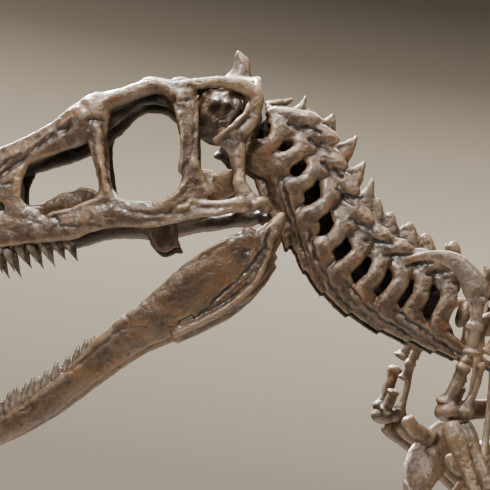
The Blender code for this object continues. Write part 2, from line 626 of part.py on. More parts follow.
def build_shoulders(finish):
    """Shoulder blade and coracoid of each side, and the breastbone."""
    for side, name in ((LEFT, "scapulocoracoid_left"), (RIGHT, "scapulocoracoid_right")):
        mesh = bmesh.new()
        move = SHOULDER_SHIFT[side]
        loft(mesh, shifted(((250, 87, -262, 17, 7), (282, 101, -256, 12, 5), (330, 116, -256, 11, 4.5),
                            (390, 127, -262, 12, 4.5), (440, 131, -268, 15, 4.5),
                            (464, 130, -272, 16, 4.5)), move),
             side=side)
        loft(mesh, shifted(((262, 87, -270, 16, 8), (240, 80, -292, 22, 7), (218, 64, -318, 24, 6),
                            (206, 48, -344, 17, 5), (206, 38, -358, 9, 5)), move), side=side)
        loft(mesh, shifted(((226, 72, -292, 10, 8), (204, 66, -278, 9, 7), (198, 64, -268, 7, 7)), move),
             side=side)
        fuse(name, mesh, finish, 3.0, 140)
    mesh = bmesh.new()
    paired(mesh, ((222, 16, -377, 4, 12), (262, 20, -383, 4, 18), (320, 26, -390, 4, 20),
                  (356, 30, -394, 4, 12)))
    loft(mesh, ((225, 0, -378, 5, 8), (300, 0, -388, 6, 10)))
    fuse("sternum", mesh, finish, 3.0, 80)


ARMS = {
    LEFT: {"shoulder": (290, 106, -292), "elbow": (288, 184, -446), "wrist": (194, 128, -229),
           "knuckle": (213, 132, -170)},
    RIGHT: {"shoulder": (256, 106, -250), "elbow": (300, 205, -352), "wrist": (146, 130, -224),
            "knuckle": (162, 132, -157)},
}


def between(start, end, share):
    """Point at a share of the way from start to end."""
    return Vector(start).lerp(Vector(end), share)


def bone(mesh, start, end, ends, waist, origin=JAW_JOINT, side=CENTRE, bow=(0, 0, 0), flat=ACROSS):
    """A long bone with two swollen ends; ends and waist are (half height, half width) in millimetres."""
    bend = Vector(bow)
    rows = []
    for share, (high, wide), lift in ((0.0, ends[0], 0.0), (0.12, ends[0], 0.3), (0.3, waist, 0.8),
                                      (0.5, waist, 1.0),
                                      (0.7, waist, 0.8), (0.9, ends[1], 0.3), (1.0, ends[1], 0.0)):
        point = between(start, end, share) + bend * lift
        shrink = 0.8 if share in (0.0, 1.0) else 1.0
        rows.append((point.x, point.y, point.z, high * shrink, wide * shrink))
    loft(mesh, rows, origin=origin, side=side, flat=flat, steps=2)


def claw(mesh, root, tip, rise, thick, origin=JAW_JOINT, side=CENTRE):
    """A hooked claw from root to tip; rise is how far its back arches, as a vector."""
    rows = []
    arch = Vector(rise)
    for share, radius in ((0.0, 1.0), (0.12, 1.05), (0.35, 0.82), (0.6, 0.6), (0.82, 0.38), (1.0, 0.14)):
        point = between(root, tip, share) + arch * (4 * share * (1 - share))
        rows.append((point.x, point.y, point.z, thick * radius, thick * 0.62 * radius))
    loft(mesh, rows, origin=origin, side=side, steps=2)


def build_arms(finish, claw_finish):
    """Upper arm, forearm, palm and three clawed fingers on each side."""
    for side, label in ((LEFT, "left"), (RIGHT, "right")):
        arm = ARMS[side]
        shoulder, elbow = Vector(arm["shoulder"]), Vector(arm["elbow"])
        wrist, knuckle = Vector(arm["wrist"]), Vector(arm["knuckle"])
        reach = (elbow - shoulder).normalized()
        mesh = bmesh.new()
        bone(mesh, shoulder + reach * 6, elbow - reach * 6, ((17, 12), (16, 13)), (9, 9), side=side,
             bow=(6, 4, 0))
        loft(mesh, [(p.x - 9, p.y, p.z, h, 5) for p, h in ((between(shoulder, elbow, 0.1), 12),
                                                          (between(shoulder, elbow, 0.25), 14),
                                                          (between(shoulder, elbow, 0.42), 7))], side=side)
        fuse("humerus_" + label, mesh, finish, 3.0, 100)
        bend = elbow + Vector((-32, -3, 14))
        rise = (wrist - bend).normalized()
        mesh = bmesh.new()
        bone(mesh, bend + Vector((8, -3, -6)), wrist - rise * 16 + Vector((8, -10, 0)),
             ((9, 8), (10, 8)), (7, 6), side=side, bow=(2, 0, 0))
        fuse("ulna_" + label, mesh, finish, 2.6, 70)
        mesh = bmesh.new()
        bone(mesh, bend + Vector((-9, 14, 3)), wrist - rise * 16 + Vector((-7, 9, 0)),
             ((7, 7), (10, 8)), (6, 5.5), side=side)
        fuse("radius_" + label, mesh, finish, 2.6, 60)
        up = (knuckle - wrist).normalized()
        mesh = bmesh.new()
        lump(mesh, (wrist.x - 4, side * wrist.y, wrist.z + 4), (15, 13, 11))
        lump(mesh, (wrist.x + 11, side * wrist.y, wrist.z + 4), (12, 11, 9))
        bone(mesh, wrist + Vector((-6, 0, 10)), knuckle - up * 8 + Vector((-4, 0, 0)), ((13, 10), (9, 9)),
             (7, 7), side=side)
        bone(mesh, wrist + Vector((14, 0, 8)), knuckle - up * 8 + Vector((13, 0, 2)), ((7, 7), (6, 6)),
             (4.2, 4.2),
             side=side, bow=(3, 0, 0))
        bone(mesh, wrist + Vector((-2, -12, 8)), wrist + up * 32 + Vector((0, -17, 0)), ((8, 7), (8, 7)),
             (6.5, 6),
             side=side)
        fuse("metacarpus_" + label, mesh, finish, 2.6, 150)
        build_fingers(side, label, knuckle, finish, claw_finish)


FINGERS = {
    # side: name: way from knuckle to root, root to last joint, last joint to claw tip, arch, thickness
    LEFT: {"finger_1": ((-9, -20, -22), (14, -4, 40), (40, -4, 26), (-3, 0, 12), 8.5),
           "finger_2": ((1, 0, 4), (8, 2, 58), (-72, 0, 42), (10, 0, 17), 12.5),
           "finger_3": ((16, 6, 5), (24, 10, 46), (-14, 8, 52), (10, 0, 8), 8)},
    RIGHT: {"finger_1": ((2, -20, -22), (16, -4, 36), (40, -4, 22), (-3, 0, 10), 8),
            "finger_2": ((1, 0, 4), (26, 0, 44), (48, 0, 58), (-12, 0, 14), 11),
            "finger_3": ((16, 6, 5), (32, 6, 38), (44, 8, 26), (-6, 0, 12), 8)},
}


def build_fingers(side, label, knuckle, finish, claw_finish):
    """Fingers of one hand, each with its claw."""
    for name, (offset, reach, hook, arch, thick) in FINGERS[side].items():
        mesh = bmesh.new()
        root = knuckle + Vector(offset)
        joint = root + Vector(reach)
        middle = between(root, joint, 0.48)
        bone(mesh, root, middle, ((thick * 0.95, thick * 0.8), (thick * 0.85, thick * 0.75)),
             (thick * 0.6, thick * 0.6), side=side)
        bone(mesh, middle, joint, ((thick * 0.85, thick * 0.75), (thick * 0.85, thick * 0.75)),
             (thick * 0.65, thick * 0.6), side=side)
        claw(mesh, joint, joint + Vector(hook), arch, thick, side=side)
        fuse(name + "_" + label, mesh, claw_finish if name == "finger_2" else finish, 2.4, 84)


# ---------------------------------------------------------------- legs
LEGS = {
    LEFT: {"hip": (50, 62, 865), "knee": (-143, 100, 592), "ankle": (-5, 98, 252), "ball": (-58, 98, 96)},
    RIGHT: {"hip": (50, 62, 865), "knee": (-34, 100, 540), "ankle": (202, 98, 262), "ball": (196, 98, 98)},
}
TOES = {
    # name: sideways angle in degrees, length, thickness
    "toe_3": (0, 132, 11.0),
    "toe_4": (-20, 112, 9.5),
}


def build_legs(finish, claw_finish):
    """Thigh, shin, calf, foot bones and toes of each side."""
    for side, label in ((LEFT, "left"), (RIGHT, "right")):
        leg = LEGS[side]
        hip, knee = Vector(leg["hip"]), Vector(leg["knee"])
        ankle, ball = Vector(leg["ankle"]), Vector(leg["ball"])
        outer = hip + Vector((2, 32, 2))
        mesh = bmesh.new()
        lump(mesh, (hip.x, side * (hip.y + 8), hip.z), (14, 14, 14), origin=GROUND)
        loft(mesh, ((hip.x, hip.y + 6, hip.z, 13, 13), (outer.x, outer.y, outer.z, 17, 14)), origin=GROUND,
             side=side,
             flat=ALONG)
        down = (knee - outer).normalized()
        bone(mesh, outer - down * 12, knee - down * 8, ((19, 13), (22, 19)), (13, 12), origin=GROUND,
             side=side,
             bow=(-14, 2, 4))
        fuse("femur_" + label, mesh, finish, 3.2, 130)
        shin = (ankle - knee).normalized()
        mesh = bmesh.new()
        bone(mesh, knee + shin * 20, ankle - shin * 10, ((22, 17), (15, 19)), (11, 11), origin=GROUND,
             side=side)
        front = shin.cross(Vector((0, 1, 0)))
        front = front if front.x < 0 else -front
        crest = [knee + shin * 24 + front * 14, knee + shin * 60 + front * 12, knee + shin * 110 + front * 5]
        loft(mesh, [(p.x, p.y, p.z, h, 6) for p, h in zip(crest, (15, 11, 6))], origin=GROUND, side=side)
        fuse("tibia_" + label, mesh, finish, 3.2, 110)
        mesh = bmesh.new()
        aside = Vector((0, 27, 0))
        bone(mesh, knee + shin * 26 + aside - front * 6, ankle - shin * 22 + Vector((0, 25, 0)),
             ((12, 6), (6, 5)),
             (4.5, 4.5), origin=GROUND, side=side)
        fuse("fibula_" + label, mesh, finish, 2.8, 50)
        mesh = bmesh.new()
        drop = (ball - ankle).normalized()
        for offset in (-16, 0, 16):
            spread = Vector((0, offset, 0))
            bone(mesh, ankle + drop * 14 + spread * 0.85, ball - drop * 4 + spread * 1.1,
                 ((13, 9.5), (11, 9)),
                 (8.5, 8.5), origin=GROUND, side=side)
        fuse("metatarsus_" + label, mesh, finish, 3.0, 140)
        build_toes(side, label, ball, finish, claw_finish)


def build_toes(side, label, ball, finish, claw_finish):
    """Four toes: the second carries the raised sickle claw, the third and fourth stand on the base."""
    floor = BASE_HEIGHT / MM
    for name, (angle, length, thick) in TOES.items():
        mesh = bmesh.new()
        aim = Vector((-math.cos(math.radians(angle)), -math.sin(math.radians(angle)), 0))
        root = ball + Vector((-14, 0 if name == "toe_3" else 21, 0))
        pads = [Vector((root.x, root.y, ball.z - 8))]
        for share, height in ((0.32, thick + 8), (0.58, thick + 4), (0.78, thick + 2)):
            pads.append(Vector((root.x, root.y, floor + height)) + aim * (length * share))
        for start, end in zip(pads, pads[1:]):
            bone(mesh, start, end, ((thick, thick), (thick * 0.85, thick * 0.85)),
                 (thick * 0.7, thick * 0.7),
                 origin=GROUND, side=side)
        tip = Vector((root.x, root.y, floor + 4)) + aim * (length * 1.2)
        claw(mesh, pads[-1], tip, (0, 0, 9), thick, origin=GROUND, side=side)
        fuse(name + "_" + label, mesh, finish, 2.8, 90)
    mesh = bmesh.new()
    root = ball + Vector((-14, -22, -2))
    middle = root + Vector((-34, -6, 14))
    joint = middle + Vector((-18, -2, 30))
    bone(mesh, root, middle, ((11, 10), (10, 9)), (7.5, 7), origin=GROUND, side=side)
    bone(mesh, middle, joint, ((10, 9), (11, 9)), (8, 7), origin=GROUND, side=side)
    claw(mesh, joint, joint + Vector((-66, -2, -30)), (-10, 0, 34), 15, origin=GROUND, side=side)
    fuse("toe_2_" + label, mesh, claw_finish, 2.8, 100)
    mesh = bmesh.new()
    start = ball + Vector((12, -28, 34))
    middle = start + Vector((-6, -14, -20))
    bone(mesh, start, middle, ((7, 6), (6, 6)), (5, 5), origin=GROUND, side=side)
    claw(mesh, middle, middle + Vector((-26, -5, -14)), (-4, 0, 8), 6, origin=GROUND, side=side)
    fuse("toe_1_" + label, mesh, finish, 2.4, 54)


# ---------------------------------------------------------------- stand
def build_base(finish):
    """Flat museum base with softened edges; the feet stand on it."""
    mesh = bmesh.new()
    bmesh.ops.create_cube(mesh, size=1.0, matrix=Matrix.Translation((0, 0,
                                                                     BASE_HEIGHT / 2)) @ Matrix.Diagonal(
        (BASE_LENGTH, BASE_WIDTH, BASE_HEIGHT, 1.0)))
    top = [edge for edge in mesh.edges if all(v.co.z > BASE_HEIGHT / 2 for v in edge.verts)]
    upright = [edge for edge in mesh.edges if edge.verts[0].co.z * edge.verts[1].co.z < 1e-6
               and abs(edge.verts[0].co.z - edge.verts[1].co.z) > BASE_HEIGHT / 2]
    bmesh.ops.bevel(mesh, geom=top + upright, offset=BASE_BEVEL, segments=2, affect="EDGES", profile=0.5)
    add_object("stand_base", mesh, finish)


def main():
    """Clear the scene and build every sub-part."""
    for old in list(bpy.data.objects):
        bpy.data.objects.remove(old)
    bone_finish = material("bone", BONE_COLOUR, 0.45)
    claw_finish = material("claw", CLAW_COLOUR, 0.35)
    base_finish = material("stand_base", BASE_COLOUR, 0.5)
    build_skull(bone_finish)
    build_jaw(bone_finish)
    build_neck(bone_finish)
    build_rib_cage(bone_finish)
    build_sacrum(bone_finish)
    build_tail(bone_finish)
    build_hips(bone_finish)
    build_shoulders(bone_finish)
    build_arms(bone_finish, claw_finish)
    build_legs(bone_finish, claw_finish)
    build_base(base_finish)


main()
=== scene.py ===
"""Finished look of a mounted skeleton of a small sickle-clawed theropod dinosaur.

Metres, +Z up. The head faces -X and the animal's left side faces -Y. Bones are drawn as
tapered lofts through named stations in millimetres, fused by a voxel remesh, then roughened,
cracked and engraved; their material paints shade into hollows and highlights onto edges.
The teeth of each jaw are a piece of their own.
"""

import enum
import logging
import math
from collections.abc import Callable, Sequence
from dataclasses import dataclass, field, replace

import bpy
import numpy as np
from mathutils import Matrix, Vector

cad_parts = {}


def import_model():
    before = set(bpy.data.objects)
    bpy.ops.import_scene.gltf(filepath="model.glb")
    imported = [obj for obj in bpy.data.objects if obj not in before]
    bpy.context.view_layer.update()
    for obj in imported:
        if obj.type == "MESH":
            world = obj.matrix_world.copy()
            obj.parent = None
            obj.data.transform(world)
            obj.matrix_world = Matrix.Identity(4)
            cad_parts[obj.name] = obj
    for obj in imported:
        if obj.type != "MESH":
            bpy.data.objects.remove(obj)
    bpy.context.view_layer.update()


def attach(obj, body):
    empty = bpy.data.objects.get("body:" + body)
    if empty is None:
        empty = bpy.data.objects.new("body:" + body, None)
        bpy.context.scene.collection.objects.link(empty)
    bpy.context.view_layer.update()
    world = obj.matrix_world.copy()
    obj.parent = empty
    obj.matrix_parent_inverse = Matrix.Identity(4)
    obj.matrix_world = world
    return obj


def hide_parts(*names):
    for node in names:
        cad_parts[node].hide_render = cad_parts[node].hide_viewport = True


LOG = logging.getLogger("skeleton")
MM = 0.001
JAW_JOINT = (-0.710, 0.0, 1.270)
GROUND = (0.0, 0.0, 0.0)
ACROSS = (0.0, 1.0, 0.0)
ALONG = (1.0, 0.0, 0.0)
INWARD_SHADE_GAIN = 1.6
INWARD_SHADE_START = 0.2
SHADE_FREE_CORE = 9.0
CRACK_WIDTH = 0.055
DARKEST_STAIN_AND_SHADE = 0.96
Row = tuple[float, ...]


class Side(enum.IntEnum):
    """Which side of the middle plane a form lies on."""
    LEFT = -1
    CENTRE = 0
    RIGHT = 1


PAIR = (Side.LEFT, Side.RIGHT)


# ---------------------------------------------------------------- curves
def smooth_rows(points: Sequence[Row], steps: int) -> np.ndarray:
    """Rows on a smooth curve through equally spaced points.

    Args:
        points: the rows that the curve passes through.
        steps: rows made for each stretch between two points.
    Returns:
        One row for each step.
    """
    p = np.asarray(points, float)
    last = len(p) - 1
    t = np.linspace(0, last, last * steps + 1)
    i = np.minimum(t.astype(int), last - 1)
    f = (t - i)[:, None]
    slope_in = (p[i + 1] - p[np.maximum(i - 1, 0)]) / 2
    slope_out = (p[np.minimum(i + 2, last)] - p[i]) / 2
    return ((2 * f**3 - 3 * f**2 + 1) * p[i] + (f**3 - 2 * f**2 + f) * slope_in
            + (3 * f**2 - 2 * f**3) * p[i + 1] + (f**3 - f**2) * slope_out)


def value_on(points: Sequence[float], t: float) -> float:
    """Value at 0..1 on a line through equally spaced values."""
    return float(np.interp(t * (len(points) - 1), range(len(points)), points))


def unit(vector: np.ndarray) -> np.ndarray:
    """The vector at length 1."""
    return vector / max(np.linalg.norm(vector), 1e-9)


def vec(*values: float) -> np.ndarray:
    """A numpy vector."""
    return np.array(values, float)


def lean_direction(degrees: float) -> np.ndarray:
    """Unit vector in the middle plane, degrees above the +X direction."""
    return vec(math.cos(math.radians(degrees)), 0.0, math.sin(math.radians(degrees)))


@dataclass
class Axis:
    """A curve in the middle plane that a row of vertebrae follows."""
    knots: tuple[Row, ...]
    count: int
    path: np.ndarray = field(init=False)

    def __post_init__(self) -> None:
        """Resample the curve at equal distances."""
        fine = smooth_rows(self.knots, 60)
        run = np.concatenate([[0], np.cumsum(np.linalg.norm(np.diff(fine, axis=0), axis=1))])
        wanted = np.linspace(0, run[-1], 201)
        self.path = np.stack([np.interp(wanted, run, fine[:, 0]), np.interp(wanted, run, fine[:, 1])],
                             axis=1)

    def point(self, t: float) -> np.ndarray:
        """Place at 0..1 along the curve."""
        spot = t * (len(self.path) - 1)
        return vec(np.interp(spot, range(len(self.path)), self.path[:, 0]), 0.0,
                   np.interp(spot, range(len(self.path)), self.path[:, 1]))

    def tangent(self, t: float) -> np.ndarray:
        """Unit direction towards the tail."""
        return unit(self.point(min(t + 0.01, 1.0)) - self.point(max(t - 0.01, 0.0)))


def station(point: np.ndarray, lateral: float, high: float, wide: float) -> Row:
    """A loft station from a point in the middle plane and a lateral distance."""
    return (float(point[0]), lateral, float(point[2]), high, wide)


# ---------------------------------------------------------------- sculpting
def value_noise(points: np.ndarray, size: float, seed: int) -> np.ndarray:
    """Smooth seeded noise from -1 to 1.

    Args:
        points: places in millimetres.
        size: millimetres from one lattice point to the next.
        seed: number that fixes the pattern.
    Returns:
        One value for each point.
    """
    table = np.random.default_rng(seed).uniform(-1, 1, (64, 64, 64))
    q = points / size
    i = np.floor(q).astype(int)
    f = q - i
    f = f * f * (3 - 2 * f)
    total = np.zeros(len(points))
    for corner in np.ndindex(2, 2, 2):
        weight = np.prod(np.where(corner, f, 1 - f), axis=1)
        a, b, c = ((i + corner) & 63).T
        total += weight * table[a, b, c]
    return total


@dataclass(frozen=True)
class Engraving:
    """A line or pit carved into the outer side of a bone, drawn in side view.

    The path holds (x, z) in millimetres from the jaw joint; a negative depth raises a ridge.
    Its stain share darkens the line, partly as stain and partly as painted shade in the groove;
    a line with no depth is painted shade alone.
    """
    path: tuple[Row, ...]
    width: float
    depth: float
    stain_and_shade: float = 0.6
    inner: float = 12.0
    outer: float = 200.0

    def strength(self, co: np.ndarray, normals: np.ndarray) -> np.ndarray:
        """How strongly each vertex is touched, from 0 to 1."""
        near = np.full(len(co), 1e9)
        flat = co[:, [0, 2]]
        path = np.asarray(self.path, float)
        if len(path) == 1:
            near = np.linalg.norm(flat - path[0], axis=1)
        for a, b in zip(path, path[1:]):
            way = b - a
            share = np.clip(((flat - a) @ way) / max(way @ way, 1e-9), 0, 1)
            near = np.minimum(near, np.linalg.norm(flat - a - share[:, None] * way, axis=1))
        side = np.sign(co[:, 1])
        outward = np.clip(normals[:, 1] * side * 2.5, 0, 1)
        lateral = np.abs(co[:, 1])
        within = (lateral > self.inner) & (lateral < self.outer)
        return np.exp(-(near / self.width) ** 2) * outward * within


@dataclass(frozen=True)
class Surface:
    """How a fused bone is meshed and roughened, in millimetres.

    The inner-face share is painted shade on faces turned to the middle plane, as if the far side shadowed
    them.
    """
    voxel: float = 2.6
    rounds: int = 3
    wave: float = 0.55
    grain: float = 0.22
    crack: float = 0.9
    inside: float = 0.0
    engravings: tuple[Engraving, ...] = ()


class Sculpt:
    """Overlapping closed forms that are fused into one bone."""

    def __init__(self, origin: Row = JAW_JOINT) -> None:
        """Start empty.

        Args:
            origin: the place in metres that all stations are measured from.
        """
        self.origin = np.asarray(origin, float)
        self.points: list[np.ndarray] = []
        self.faces: list[tuple[int, ...]] = []
        self.count = 0

    def add(self, points: np.ndarray, faces: list[tuple[int, ...]]) -> None:
        """Add a closed form, its points in millimetres."""
        self.points.append(self.origin + points * MM)
        self.faces += [tuple(i + self.count for i in face) for face in faces]
        self.count += len(points)

    def loft(self, stations: Sequence[Row], side: Side = Side.CENTRE, flat: Row = ACROSS, steps: int = 5,
             roll: float = 0.0, sides: int = 14, square: float = 2.3) -> None:
        """Closed tapered form through stations (x, y, z, half_height, half_width).

        Args:
            stations: in millimetres, y outwards.
            side: the side of the middle plane it goes on.
            flat: the direction that the half width lies along.
            steps: rings between two stations.
            roll: degrees that the top of a plate leans outwards.
            sides: corners of one ring.
            square: 2 for an ellipse, more for a boxier section.
        """
        turn = float(side) if side else 1.0
        if roll:
            flat = (0.0, math.cos(math.radians(roll)), -turn * math.sin(math.radians(roll)))
        rows = smooth_rows(stations, steps)
        rows[:, 3:] = np.maximum(rows[:, 3:], 0.5)
        centres = rows[:, :3] * (1, turn, 1)
        angle = np.arange(sides) * 2 * math.pi / sides
        across_part = np.sign(np.cos(angle)) * np.abs(np.cos(angle)) ** (2 / square)
        up_part = np.sign(np.sin(angle)) * np.abs(np.sin(angle)) ** (2 / square)
        points = []
        last = len(rows) - 1
        for i in range(last + 1):
            path = unit(centres[min(i + 1, last)] - centres[max(i - 1, 0)])
            across = unit(np.asarray(flat) - path * np.dot(flat, path))
            up = np.cross(path, across)
            ring = across_part[:, None] * across * rows[i, 4] + up_part[:, None] * up * rows[i, 3]
            dome = min(rows[i, 3], rows[i, 4]) * 0.3
            if i == 0:
                points.append(centres[i] - path * dome + ring * 0.6)
            points.append(centres[i] + ring)
            if i == last:
                points.append(centres[i] + path * dome + ring * 0.6)
        rings = len(points)
        faces = [(r * sides + k, r * sides + (k + 1) % sides, (r + 1) * sides + (k + 1) % sides,
                  (r + 1) * sides + k)
                 for r in range(rings - 1) for k in range(sides)]
        faces.append(tuple(reversed(range(sides))))
        faces.append(tuple(range((rings - 1) * sides, rings * sides)))
        self.add(np.concatenate(points), faces)

    def pair(self, stations: Sequence[Row], **options) -> None:
        """The same loft on the left and on the right."""
        for side in PAIR:
            self.loft(stations, side=side, **options)

    def lump(self, centre: Row, radii: Row, side: Side = Side.CENTRE) -> None:
        """A rounded lump, centre and radii in millimetres."""
        x, y, z = centre
        y *= float(side) if side else 1.0
        rows = [(x + radii[0] * math.sin(a), y, z, max(radii[2] * math.cos(a), 0.5),
                 max(radii[1] * math.cos(a), 0.5))
                for a in np.radians((-82, -60, -30, 0, 30, 60, 82))]
        self.loft(rows, steps=2, square=2.0)

    def lumps(self, centre: Row, radii: Row) -> None:
        """The same lump on the left and on the right."""
        for side in PAIR:
            self.lump(centre, radii, side)

    def shaft(self, start: np.ndarray, end: np.ndarray, ends: tuple[Row, Row], waist: Row,
              side: Side = Side.CENTRE, bow: Row = (0, 0, 0), flat: Row = ACROSS) -> None:
        """A long bone with two swollen, notched ends.

        Args:
            start: one end in millimetres.
            end: the other end.
            ends: (half height, half width) of both ends.
            waist: the same of the shaft.
            side: the side of the middle plane.
            bow: how far the middle bends away.
            flat: direction of the half width.
        """
        start, end, bend = np.asarray(start, float), np.asarray(end, float), np.asarray(bow, float)
        rows = []
        for share, size, lift in ((0.0, 0, 0.0), (0.07, 0, 0.15), (0.16, 0, 0.4), (0.3, None, 0.8),
                                  (0.5, None, 1.0),
                                  (0.7, None, 0.8), (0.84, 1, 0.4), (0.93, 1, 0.15), (1.0, 1, 0.0)):
            high, wide = waist if size is None else ends[size]
            swell = {0.0: 0.86, 1.0: 0.86, 0.16: 0.78, 0.84: 0.78}.get(share, 1.0)
            place = start + (end - start) * share + bend * lift
            rows.append((*place, high * swell, wide * swell))
        self.loft(rows, side=side, flat=flat, steps=3)

    def claw(self, root: np.ndarray, tip: np.ndarray, rise: Row, thick: float,
             side: Side = Side.CENTRE) -> None:
        """A hooked claw from root to tip; rise is how far its back arches."""
        root, tip = np.asarray(root, float), np.asarray(tip, float)
        rows = []
        for share, radius in ((0.0, 0.9), (0.08, 1.08), (0.2, 0.98), (0.4, 0.78), (0.6, 0.6), (0.8, 0.38),
                              (0.93, 0.2), (1.0, 0.1)):
            place = root + (tip - root) * share + np.asarray(rise) * (4 * share * (1 - share))
            rows.append((*place, thick * radius, thick * 0.6 * radius))
        self.loft(rows, side=side, steps=3)

    def raw(self, name: str) -> bpy.types.Object:
        """The forms as one object, still separate shells."""
        mesh = bpy.data.meshes.new(name)
        mesh.from_pydata(np.concatenate(self.points).tolist(), [], self.faces)
        made = bpy.data.objects.new(name, mesh)
        bpy.context.scene.collection.objects.link(made)
        outward(made)
        return made

    def fuse(self, name: str, surface: Surface, holes: "Sculpt | None" = None) -> bpy.types.Object:
        """Fuse all forms into one roughened, cracked and engraved bone.

        Args:
            name: name of the piece.
            surface: mesh size and relief.
            holes: forms that are cut away.
        Returns:
            The finished object, without a material.
        """
        made = self.raw(name)
        remesh(made, surface.voxel)
        if holes:
            tool = holes.raw(name + "_holes")
            cut = made.modifiers.new("Holes", "BOOLEAN")
            cut.operation = "DIFFERENCE"
            cut.solver = "EXACT"
            cut.object = tool
            apply_modifiers(made)
            bpy.data.objects.remove(tool)
            remesh(made, surface.voxel)
        keep_largest_shell(made)
        soften(made, surface.rounds)
        relief(made, surface)
        with_selected(made)
        bpy.ops.object.shade_smooth()
        return made


def with_selected(*targets: bpy.types.Object) -> None:
    """Select only these objects and make the last one active."""
    bpy.ops.object.select_all(action="DESELECT")
    for target in targets:
        target.select_set(True)
    bpy.context.view_layer.objects.active = targets[-1]


def outward(target: bpy.types.Object) -> None:
    """Turn all faces of an object outwards."""
    with_selected(target)
    bpy.ops.object.mode_set(mode="EDIT")
    bpy.ops.mesh.select_all(action="SELECT")
    bpy.ops.mesh.normals_make_consistent(inside=False)
    bpy.ops.object.mode_set(mode="OBJECT")


def apply_modifiers(target: bpy.types.Object) -> None:
    """Apply every modifier of an object."""
    with_selected(target)
    for modifier in list(target.modifiers):
        bpy.ops.object.modifier_apply(modifier=modifier.name)


def remesh(target: bpy.types.Object, voxel: float) -> None:
    """Fuse an object's shells on a grid of this size in millimetres."""
    made = target.modifiers.new("Fuse", "REMESH")
    made.mode = "VOXEL"
    made.voxel_size = voxel * MM
    apply_modifiers(target)


def soften(target: bpy.types.Object, rounds: int) -> None:
    """Smooth the voxel steps away."""
    made = target.modifiers.new("Soften", "SMOOTH")
    made.factor = 0.5
    made.iterations = rounds
    apply_modifiers(target)


def keep_largest_shell(target: bpy.types.Object) -> None:
    """Remove crumbs that hang on nothing."""
    with_selected(target)
    mesh = target.data
    labels = np.arange(len(mesh.vertices))
    edges = edges_of(mesh)
    while True:
        low = np.minimum(labels[edges[:, 0]], labels[edges[:, 1]])
        fresh = labels.copy()
        np.minimum.at(fresh, edges[:, 0], low)
        np.minimum.at(fresh, edges[:, 1], low)
        fresh = fresh[fresh]
        if np.array_equal(fresh, labels):
            break
        labels = fresh
    main = np.bincount(labels).argmax()
    loose = labels != main
    if loose.any():
        bpy.ops.object.mode_set(mode="EDIT")
        bpy.ops.mesh.select_mode(type="VERT")
        bpy.ops.mesh.select_all(action="DESELECT")
        bpy.ops.object.mode_set(mode="OBJECT")
        mesh.vertices.foreach_set("select", loose)
        bpy.ops.object.mode_set(mode="EDIT")
        bpy.ops.mesh.delete(type="VERT")
        bpy.ops.object.mode_set(mode="OBJECT")


def edges_of(mesh: bpy.types.Mesh) -> np.ndarray:
    """Vertex pairs of all edges."""
    pairs = np.empty(len(mesh.edges) * 2, np.int32)
    mesh.edges.foreach_get("vertices", pairs)
    return pairs.reshape(-1, 2)


def coordinates(mesh: bpy.types.Mesh) -> np.ndarray:
    """Vertex places in metres."""
    co = np.empty(len(mesh.vertices) * 3)
    mesh.vertices.foreach_get("co", co)
    return co.reshape(-1, 3)


def vertex_normals(mesh: bpy.types.Mesh) -> np.ndarray:
    """Vertex normals."""
    found = np.empty(len(mesh.vertices) * 3, np.float32)
    mesh.vertex_normals.foreach_get("vector", found)
    return found.reshape(-1, 3).astype(float)


def averaged(values: np.ndarray, edges: np.ndarray, rounds: int) -> np.ndarray:
    """Values after some rounds of averaging with their neighbours."""
    size = len(values)
    weight = np.bincount(edges.ravel(), minlength=size)[:, None]
    for _ in range(rounds):
        total = np.stack([np.bincount(edges[:, 0], values[edges[:, 1], k], size)
                          + np.bincount(edges[:, 1], values[edges[:, 0], k], size)
                          for k in range(values.shape[1])], axis=1)
        values = (values + total) / (weight + 1)
    return values


def relief(target: bpy.types.Object, surface: Surface) -> None:
    """Roughen and engrave a bone, and store how hollow each place is and how much stain and painted shade it
    gets.

    Args:
        target: the fused bone.
        surface: its noise and engravings.
    """
    mesh = target.data
    co = coordinates(mesh) / MM
    normals = vertex_normals(mesh)
    local = co - np.asarray(JAW_JOINT) / MM
    local += np.stack([value_noise(co, 6.0, 21), value_noise(co, 6.0, 22), value_noise(co, 6.0, 23)],
                      axis=1) * 1.7
    uneven = 0.62 + 0.5 * value_noise(co, 8.0, 24)
    shift = (value_noise(co, 9.0, 3) * 0.65 + value_noise(co, 19.0, 5) * 0.8) * surface.wave
    shift += value_noise(co, 3.6, 11) * surface.grain
    veins = np.abs(value_noise(co * (0.55, 1.0, 1.0), 15.0, 31) + 0.35 * value_noise(co, 5.0, 32))
    cracks = np.clip(1 - veins / CRACK_WIDTH, 0, 1) * np.clip(value_noise(co, 26.0, 33) * 3 + 0.4, 0, 1)
    shift -= cracks * surface.crack
    # Painted shade on faces turned to the middle plane, as if the far side shadowed them; cracks are
    # darkened as well.
    inward_shade = np.clip(INWARD_SHADE_GAIN * -normals[:, 1] * np.sign(local[:, 1]) - INWARD_SHADE_START, 0, 1)
    inward_shade *= np.abs(local[:, 1]) > SHADE_FREE_CORE
    stain_and_shade = np.maximum(cracks * 0.5, inward_shade * surface.inside)
    for line in surface.engravings:
        touched = line.strength(local, normals) * uneven
        shift -= touched * line.depth
        stain_and_shade = np.maximum(stain_and_shade, touched * line.stain_and_shade)
    stain_and_shade = np.minimum(stain_and_shade, DARKEST_STAIN_AND_SHADE)
    co += normals * shift[:, None]
    mesh.vertices.foreach_set("co", (co * MM).ravel())
    mesh.update()
    edges = edges_of(mesh)
    normals = vertex_normals(mesh)
    # How hollow each place is; from it the material paints shade into hollows and highlights onto edges.
    fine = np.einsum("ij,ij->i", averaged(co, edges, 4) - co, normals)
    wide = np.einsum("ij,ij->i", averaged(co, edges, 22) - co, normals)
    hollow = averaged((fine / 0.45 + wide / 1.6)[:, None], edges, 1)[:, 0]
    for name, values in (("hollow", hollow), ("stain_and_shade", stain_and_shade)):
        mesh.attributes.new(name, "FLOAT", "POINT").data.foreach_set("value", values.astype(np.float32))


